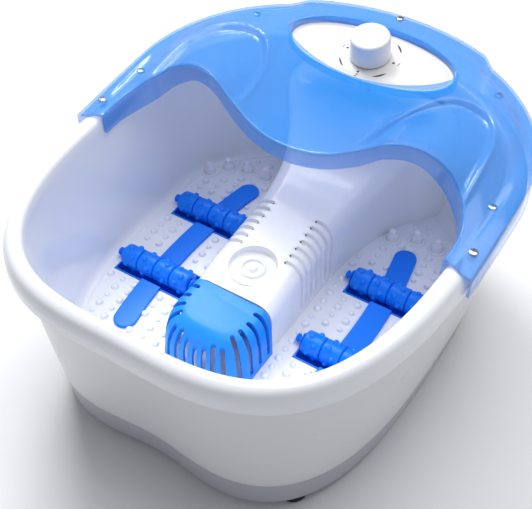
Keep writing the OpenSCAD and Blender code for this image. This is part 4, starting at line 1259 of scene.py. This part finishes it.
class FOOTSPA_OT_panel(bpy.types.Operator):
    """Make the printed control plate with its dial marks, and the knob"""

    bl_idname = "footspa.panel"
    bl_label = "Panel and knob"

    def execute(self, context):
        steps = [(-0.2, -PANEL_T), (0, -PANEL_T + 0.2), (0, -0.3), (-0.15, -0.08), (-0.4, 0.0), (-2.3, 0.0),
                 (-2.5, -0.18), (-2.8, -0.18), (-3.0, 0.0), (-PANEL_B * 0.45, 0.0)]
        rows = [oval_ring(PANEL_A + d, PANEL_B + d, z) for d, z in steps]
        plate = loft("control_plate", rows)
        place(plate, on_panel())
        finished(plate, 50, "printed_plate", replaces=["control_panel"])
        self.make_marks()
        self.make_knob()
        return {"FINISHED"}

    def make_marks(self):
        """Dots, digits and arcs round the knob; each of the four positions, the rear one too, has a dot and a
        digit.
        """
        parts = []
        for angle, digit in ((0, "1"), (-90, "2"), (180, "3"), (90, "0")):
            c, s = math.cos(math.radians(angle)), math.sin(math.radians(angle))
            dot = lathe("dot", [(0, -0.05), (1.0, -0.05), (1.0, 0.1), (0, 0.1)], 24)
            parts.append(place(dot, shift(20.4 * c, 20.4 * s, 0)))
            text = flat_text(digit, 5.0)
            parts.append(place(text, shift(24.6 * c, 24.6 * s + 0.2, 0.05)))
        for start in (30, -58, -150, 120):
            parts.append(dial_arc(DIAL_R, start, start + 26))
        marks = joined("dial_marks", parts)
        place(marks, on_panel())
        finished(marks, None, "screen_ink")

    def make_knob(self):
        """Slightly tapered knob with a rounded top edge and a shallow pointer groove."""
        top = KNOB_H
        profile = [
            (0, 0), (KNOB_R - 0.5, 0), (KNOB_R, 0.5), (KNOB_R, 1.2), (KNOB_R - 0.5, top - 3.4),
            (KNOB_R - 0.75, top - 1.9), (KNOB_R - 1.4, top - 0.8), (KNOB_R - 2.4, top - 0.15),
            (KNOB_R - 3.4, top), (KNOB_R - 5, top - 0.12), (0, top - 0.3),
        ]
        knob = lathe("knob", profile, 128)
        place(knob, shift(0, 0, 0.6))
        groove = block("groove tool", (-0.45, 1.5, top + 0.05), (0.45, KNOB_R - 3, top + 3))
        cut(knob, [groove])
        place(knob, on_panel())
        finished(knob, 35, "gloss_white_abs", body="knob", replaces=["control_knob"])


# ---- massage strips and rollers ----


def strip_outline():
    """Plan outline of the right strip: a gentle arc with round ends."""
    limit = math.asin(STRIP_HALF / STRIP_BEND_R)
    cx = ROLLER_X - STRIP_BEND_R
    out = []
    for edge, angles in ((1, np.linspace(-limit, limit, 60)), (-1, np.linspace(limit, -limit, 60))):
        r = STRIP_BEND_R + edge * STRIP_W / 2
        out += [(cx + r * math.cos(a), STRIP_Y + r * math.sin(a)) for a in angles]
        tip = angles[-1]
        ex, ey = cx + STRIP_BEND_R * math.cos(tip), STRIP_Y + STRIP_BEND_R * math.sin(tip)
        turn_from = tip if edge > 0 else tip + math.pi
        for t in np.linspace(0, math.pi, 26)[1:-1]:
            a = turn_from + t
            out.append((ex + STRIP_W / 2 * math.cos(a), ey + STRIP_W / 2 * math.sin(a)))
    return np.array(out)


def inset(outline, d):
    """A closed plan outline moved inwards by d."""
    ahead, behind = np.roll(outline, -1, 0), np.roll(outline, 1, 0)
    u = ahead - behind
    u /= np.linalg.norm(u, axis=1)[:, None]
    return outline + np.column_stack([-u[:, 1], u[:, 0]]) * d


class FOOTSPA_OT_strips(bpy.types.Operator):
    """Make the two massage strips with their roller trays and bearing ears"""

    bl_idname = "footspa.strips"
    bl_label = "Massage strips"

    def execute(self, context):
        for side, name in ((1, "right"), (-1, "left")):
            self.make_strip(side, "massage_strip_" + name)
        return {"FINISHED"}

    def make_strip(self, side, node):
        outline = strip_outline()
        low, top = FLOOR + 0.05, FLOOR + 0.05 + STRIP_T
        levels = [(low, 0.3), (low + 0.3, 0), (top - 0.7, 0), (top - 0.25, 0.2), (top, 0.75), (top, 1.6)]
        rows = [np.column_stack([inset(outline, d), np.full(len(outline), z)]) for z, d in levels]
        blade = loft("blade", rows)
        tray_low = ROLLER_Z - ROLLER_R - TRAY_SIDE
        solids, hollows = [], []
        for y in ROLLER_YS.values():
            solids.append(self.tray_solid(y, 0, tray_low, low + 0.35))
            hollows.append(self.tray_solid(y, -1.1, tray_low + 1.5, top + 30))
            for end in (-1, 1):
                solids.append(self.ear(ROLLER_X + end * (ROLLER_LEN / 2 + 1.4), y, tray_low))
        cut(blade, solids, "UNION")
        cut(blade, hollows)
        if side < 0:
            place(blade, Matrix.Scale(-1, 4, (1, 0, 0)))
            outward(blade)
        blade.name = node + "_body"
        finished(blade, 35, "blue_polypropylene", replaces=[node])

    def tray_solid(self, y, grow, low, high):
        """A tray block with rounded corners."""
        hx, hy, r = ROLLER_LEN / 2 + TRAY_END + grow, ROLLER_R + TRAY_SIDE + grow, 2.0
        row = []
        corners = ((hx - r, hy - r), (-hx + r, hy - r), (-hx + r, -hy + r), (hx - r, -hy + r))
        for quarter, (cx, cy) in enumerate(corners):
            for t in (0, 30, 60, 90):
                a = math.radians(quarter * 90 + t)
                row.append((cx + r * math.cos(a), cy + r * math.sin(a)))
        return loft("tray", [[(ROLLER_X + px, y + py, z) for px, py in row] for z in (low, high)])

    def ear(self, x, y, low):
        """A bearing ear: a post with a round top."""
        r, half = 5.4, 1.1
        arc = [(r * math.cos(a), ROLLER_Z + r * math.sin(a)) for a in np.linspace(0, math.pi, 24)]
        side = [(r, low + 0.5)] + arc + [(-r, low + 0.5)]
        return loft("ear", [[(x + dx, y + py, pz) for py, pz in side] for dx in (-half, half)])


BARRELS = 4
KNOBS_ROUND = 8
KNOB_SWAY = 2.3
KNOB_SUNK = 0.35
# A barrel's rounding at a roller's end and between barrels: drop in radius, distance in
BARREL_END = [(2.4, 0), (1.2, 0.15), (0.45, 0.65), (0.1, 1.4)]
BARREL_JOIN = [(1.9, 0.25), (0.75, 0.45), (0.2, 0.85), (0.05, 1.5)]


def roller_profile():
    """Half profile of a roller along its axis: (radius, place), with stubs and headed ends."""
    pitch = ROLLER_LEN / BARRELS
    half = ROLLER_LEN / 2
    tip = half + STUB_OUT
    head = [(2.5, tip - 2.4), (2.9, tip - 2.3), (3.4, tip - 1.9), (3.4, tip - 0.4), (2.9, tip), (0, tip)]
    out = [(r, -z) for r, z in head[::-1]] + [(2.5, -half - 0.1), (3.5, -half)]
    for b in range(BARRELS):
        z0 = -half + pitch * b
        z1 = z0 + pitch
        start = BARREL_END if b == 0 else BARREL_JOIN
        end = BARREL_END if b == BARRELS - 1 else BARREL_JOIN
        out += [(ROLLER_R - dr, z0 + dz) for dr, dz in start]
        out += [(ROLLER_R, z0 + pitch * 0.3), (ROLLER_R, z1 - pitch * 0.3)]
        out += [(ROLLER_R - dr, z1 - dz) for dr, dz in end[::-1]]
    out += [(3.5, half), (2.5, half + 0.1)] + head
    return out


class FOOTSPA_OT_rollers(bpy.types.Operator):
    """Make the four massage rollers with knobs standing round each barrel"""

    bl_idname = "footspa.rollers"
    bl_label = "Massage rollers"

    def execute(self, context):
        for side, hand in ((-1, "left"), (1, "right")):
            for place_name, y in ROLLER_YS.items():
                self.make_roller(side * ROLLER_X, y, "roller_%s_%s" % (place_name, hand),
                                 "roller_%s%s" % (place_name[0], hand[0]))
        return {"FINISHED"}

    def make_roller(self, x, y, node, body):
        core = lathe("core", roller_profile(), 64)
        lie = shift(x, y, ROLLER_Z) @ turn(90, "Y")
        place(core, lie)
        pitch = ROLLER_LEN / BARRELS
        points, towards = [], []
        for b in range(BARRELS):
            for k in range(KNOBS_ROUND):
                a = (k + b / 2) * 2 * math.pi / KNOBS_ROUND
                along = -ROLLER_LEN / 2 + pitch * (b + 0.5) + KNOB_SWAY * (1 if k % 2 else -1)
                out = Vector((math.cos(a), math.sin(a), 0))
                points.append(tuple(lie @ (out * (ROLLER_R - KNOB_SUNK) + Vector((0, 0, along)))))
                towards.append(tuple(lie.to_3x3() @ out))
        h = sizes().knob_bump / MM + KNOB_SUNK
        bump = [(2.6, -0.5), (2.6, 0.1), (2.25, 0.4), (2.0, 0.9), (1.6, h - 0.45), (0.9, h - 0.1), (0, h)]
        knob = lathe("bump", bump, 18)
        roller = stand_on_points(
            node + "_body", points, knob, "blue_polypropylene", towards, body=core
        )
        finished(roller, 60, "blue_polypropylene", body=body, replaces=[node])


# ---- filter cap ----

CAP_T = 2.0
CAP_SLOT_HALF = 1.85
CAP_ROWS = [
    (CAP_LOW[2], CAP_HIGH[0], 0, 18), (CAP_HIGH[2] - 32, CAP_HIGH[0] - 0.4, 0.4, 20),
    (CAP_HIGH[2] - 21, CAP_HIGH[0] - 0.9, 1.2, 21), (CAP_HIGH[2] - 10, CAP_HIGH[0] - 2.4, 4.4, 22),
    (CAP_HIGH[2] - 4, CAP_HIGH[0] - 4.9, 9.0, 22), (CAP_HIGH[2] - 1, CAP_HIGH[0] - 8.0, 14.5, 22),
    (CAP_HIGH[2], CAP_HIGH[0] - 11.5, 20, 21),
]
# The slot that starts lower
SHORT_SLOT_X = 17.6
# Slot tops on the right half: place, and the direction each slot runs down the wall
CAP_SLOTS = [
    (23.5, -72.5, 0), (24, -82.2, -7), (23, -90.3, -20), (21, -97, -36), (SHORT_SLOT_X, -104.2, -53),
    (13, -107.5, -68), (7, -110.3, -79), (0, -111.3, -90),
]


def cap_ring(z, w, front_in, r, d):
    """One section of the cap at height z, shrunk by d."""
    w, front, r = w - d, CAP_LOW[1] + front_in + d, max(r - d, 1.0)
    back = CAP_HIGH[1]
    arc = np.radians(np.linspace(180, 270, 22))
    left = [(-w + r + r * math.cos(a), front + r + r * math.sin(a)) for a in arc]
    right = [(-x, y) for x, y in left[::-1]]
    wall = np.linspace(back, front + r, 12)
    plan = [(-w, y) for y in wall[:-1]] + left + right + [(w, y) for y in wall[::-1][:-1]]
    return [(x, y, z) for x, y in plan]


class FOOTSPA_OT_cap(bpy.types.Operator):
    """Make the lift-off filter cap with its fan of water slots"""

    bl_idname = "footspa.cap"
    bl_label = "Filter cap"

    def execute(self, context):
        table = smooth_line(CAP_ROWS, 44)
        inner = [cap_ring(z - CAP_T, w, f, r, CAP_T) for z, w, f, r in table[6:]]
        bottom = [cap_ring(*CAP_ROWS[0], CAP_T)]
        outer = [cap_ring(z, w, f, r, 0) for z, w, f, r in table]
        body = loft("filter_cap_body", inner[::-1] + bottom + outer)
        tools = []
        for x, y, angle in CAP_SLOTS:
            for side in ((-1, 1) if x else (1,)):
                along = angle if side > 0 else 180 - angle
                tools.append(self.slot_tool(side * x, y, along, x == SHORT_SLOT_X))
        cut(body, tools)
        finished(body, 40, "cap_polypropylene", body="cap", replaces=["filter_cap"])
        return {"FINISHED"}

    def slot_tool(self, x, y, angle, short):
        """A slot cutter: an upright blade with round ends that runs outwards from the plateau."""
        half, reach = CAP_SLOT_HALF, 26
        low = FLOOR + 5
        high = CAP_HIGH[2] + 3
        c, s = math.cos(math.radians(angle)), math.sin(math.radians(angle))
        start = 3.0 if short else 0.0
        row = []
        for t in np.linspace(90, 270, 9):
            a = math.radians(t)
            row.append((start + half + half * math.cos(a), half * math.sin(a)))
        row += [(reach, -half), (reach, half)]
        plan = [(x + u * c - v * s, y + u * s + v * c) for u, v in row]
        return loft("slot tool", [[(px, py, z) for px, py in plan] for z in (low, high)])


# ---- screws, feet and the pieces under the tub ----


def screw_head(name, r, h):
    """A pan head with a cross recess."""
    dome = [(0, 0), (r, 0), (r, h * 0.35), (r * 0.86, h * 0.75), (r * 0.5, h * 0.97), (0, h)]
    head = lathe(name, dome, 32)
    arms = [
        block("cross", (-r * 0.62, -r * 0.13, h * 0.35), (r * 0.62, r * 0.13, h * 1.5)),
        block("cross", (-r * 0.13, -r * 0.62, h * 0.35), (r * 0.13, r * 0.62, h * 1.5)),
    ]
    return sharpen(cut(head, arms), 35)


# Screws in plan, and how far a guard screw's head stands over the ledge
SCREW_STAND = 0.4
GUARD_SCREWS = [(0, 186), (107, 136), (-107, 136), (148, 30), (-148, 30), (153, -12), (-153, -12)]
BASE_SCREWS = [(-60, -140), (60, -140), (-112, -20), (112, -20), (-50, 140), (50, 140)]


class FOOTSPA_OT_screws(bpy.types.Operator):
    """Make the guard's and the base's screws with cross recesses"""

    bl_idname = "footspa.screws"
    bl_label = "Screws"

    def execute(self, context):
        on_guard = [(x, y, RIM_TOP + guard_ledge(y) + SCREW_STAND) for x, y in GUARD_SCREWS]
        under_base = [(x, y, FOOT_H - 0.01) for x, y in BASE_SCREWS]
        for kind, r, h, points, up in (
            ("guard_screw", 3.4, 2.0, on_guard, 1), ("base_screw", 3.5, 1.75, under_base, -1)
        ):
            head = screw_head("head", r, h)
            screws = stand_on_points(kind + "_heads", points, head, "zinc_plate", (0, 0, up))
            finished(screws, 35, "zinc_plate", replaces=[kind + "s"])
        return {"FINISHED"}


INNER_FINISHES = {
    "rubber_feet": "black_rubber", "cord_gland": "black_rubber", "rubber_mounts": "black_rubber",
    "switch_body": "black_abs", "switch_shaft": "turned_brass", "switch_nut": "zinc_plate",
    "lamp_lens": "milky_lens", "infrared_lamp": "lamp_glass", "lamp_holder": "unglazed_steatite",
    "heater_plate": "rolled_aluminium", "thermostat": "unglazed_steatite", "thermal_fuse": "zinc_plate",
    "motor_can": "drawn_steel", "motor_shaft": "drawn_steel", "eccentric_weight": "cast_zinc",
    "blower_impeller": "natural_nylon", "blower_housing": "black_abs", "blower_cover": "black_abs",
    "motor_bracket": "drawn_steel", "air_hose": "silicone_hose", "air_manifold": "natural_nylon",
    "terminal_block": "natural_nylon", "motor_lead": "red_pvc", "heater_lead": "blue_pvc",
}


class FOOTSPA_OT_inner(bpy.types.Operator):
    """Give the feet, the gland and the pieces under the tub their real finishes"""

    bl_idname = "footspa.inner"
    bl_label = "Feet and inner pieces"

    def execute(self, context):
        for name, finish in INNER_FINISHES.items():
            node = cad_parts[name]
            node.data.materials.clear()
            node.data.materials.append(material_of(finish))
        return {"FINISHED"}


# ---- stage ----


FLOOR_HALF = 3000
AIM = (0, 0, 0.1)


def area_light(name, energy, size, place_at):
    """A soft square light that looks at the basin."""
    light = bpy.data.lights.new(name, "AREA")
    light.shape = "SQUARE"
    light.size = size
    light.energy = energy
    light.color = (1, 1, 1)
    obj = bpy.data.objects.new(name, light)
    bpy.context.scene.collection.objects.link(obj)
    obj.location = place_at
    obj.rotation_euler = (Vector(AIM) - Vector(place_at)).to_track_quat("-Z", "Y").to_euler()


class FOOTSPA_OT_stage(bpy.types.Operator):
    """Set the pale floor, the soft studio light and the camera"""

    bl_idname = "footspa.stage"
    bl_label = "Stage"

    def execute(self, context):
        scene = context.scene
        plan = [(-FLOOR_HALF, -FLOOR_HALF), (FLOOR_HALF, -FLOOR_HALF), (FLOOR_HALF, FLOOR_HALF),
                (-FLOOR_HALF, FLOOR_HALF)]
        floor = make_mesh("floor", [(x, y, 0) for x, y in plan], [(0, 1, 2, 3)], smooth=False)
        floor.data.materials.append(moulded_plastic("pale_card", srgb("#FAFAFA"), 0.7, wander=0.01))
        world = bpy.data.worlds.new("studio")
        world.use_nodes = True
        sky = world.node_tree.nodes["Background"]
        sky.inputs["Color"].default_value = srgb("#F4F7FF")
        sky.inputs["Strength"].default_value = 0.3
        scene.world = world
        area_light("key", 12, 0.5, (-0.65, 0.45, 1.15))
        area_light("top", 14, 1.2, (0.1, 0.35, 1.5))
        camera = bpy.data.cameras.new("camera")
        camera.sensor_width = 36
        camera.lens = 60.2
        eye = bpy.data.objects.new("camera", camera)
        scene.collection.objects.link(eye)
        eye.location = (0.2552, -0.4192, 0.5752)
        eye.rotation_euler = (math.radians(44.34), 0, math.radians(32.50))
        scene.camera = eye
        scene.view_settings.view_transform = "Standard"
        return {"FINISHED"}


# ---- panel and registration ----

STEPS = [
    FOOTSPA_OT_stage, FOOTSPA_OT_tub, FOOTSPA_OT_console, FOOTSPA_OT_nubs, FOOTSPA_OT_casing,
    FOOTSPA_OT_guard, FOOTSPA_OT_panel, FOOTSPA_OT_strips, FOOTSPA_OT_rollers, FOOTSPA_OT_cap,
    FOOTSPA_OT_screws, FOOTSPA_OT_inner,
]


class FOOTSPA_PT_sidebar(bpy.types.Panel):
    """Foot spa pieces and their settings"""

    bl_idname = "FOOTSPA_PT_sidebar"
    bl_label = "Foot spa"
    bl_space_type = "VIEW_3D"
    bl_region_type = "UI"
    bl_category = "Foot spa"

    def draw(self, context):
        for group in (context.scene.footspa_colours, context.scene.footspa_sizes):
            box = self.layout.box()
            for name in group.bl_rna.properties.keys():
                if name not in ("rna_type", "name"):
                    box.prop(group, name)
        for step in STEPS:
            self.layout.operator(step.bl_idname)


CLASSES = [FOOTSPA_PG_colours, FOOTSPA_PG_sizes, *STEPS, FOOTSPA_PT_sidebar]


def register():
    for cls in CLASSES:
        bpy.utils.register_class(cls)
    bpy.types.Scene.footspa_colours = bpy.props.PointerProperty(type=FOOTSPA_PG_colours)
    bpy.types.Scene.footspa_sizes = bpy.props.PointerProperty(type=FOOTSPA_PG_sizes)


def unregister():
    del bpy.types.Scene.footspa_sizes
    del bpy.types.Scene.footspa_colours
    for cls in reversed(CLASSES):
        bpy.utils.unregister_class(cls)


def main():
    register()
    for step in STEPS:
        group, name = step.bl_idname.split(".")
        getattr(getattr(bpy.ops, group), name)()


if __name__ == "__main__":
    main()
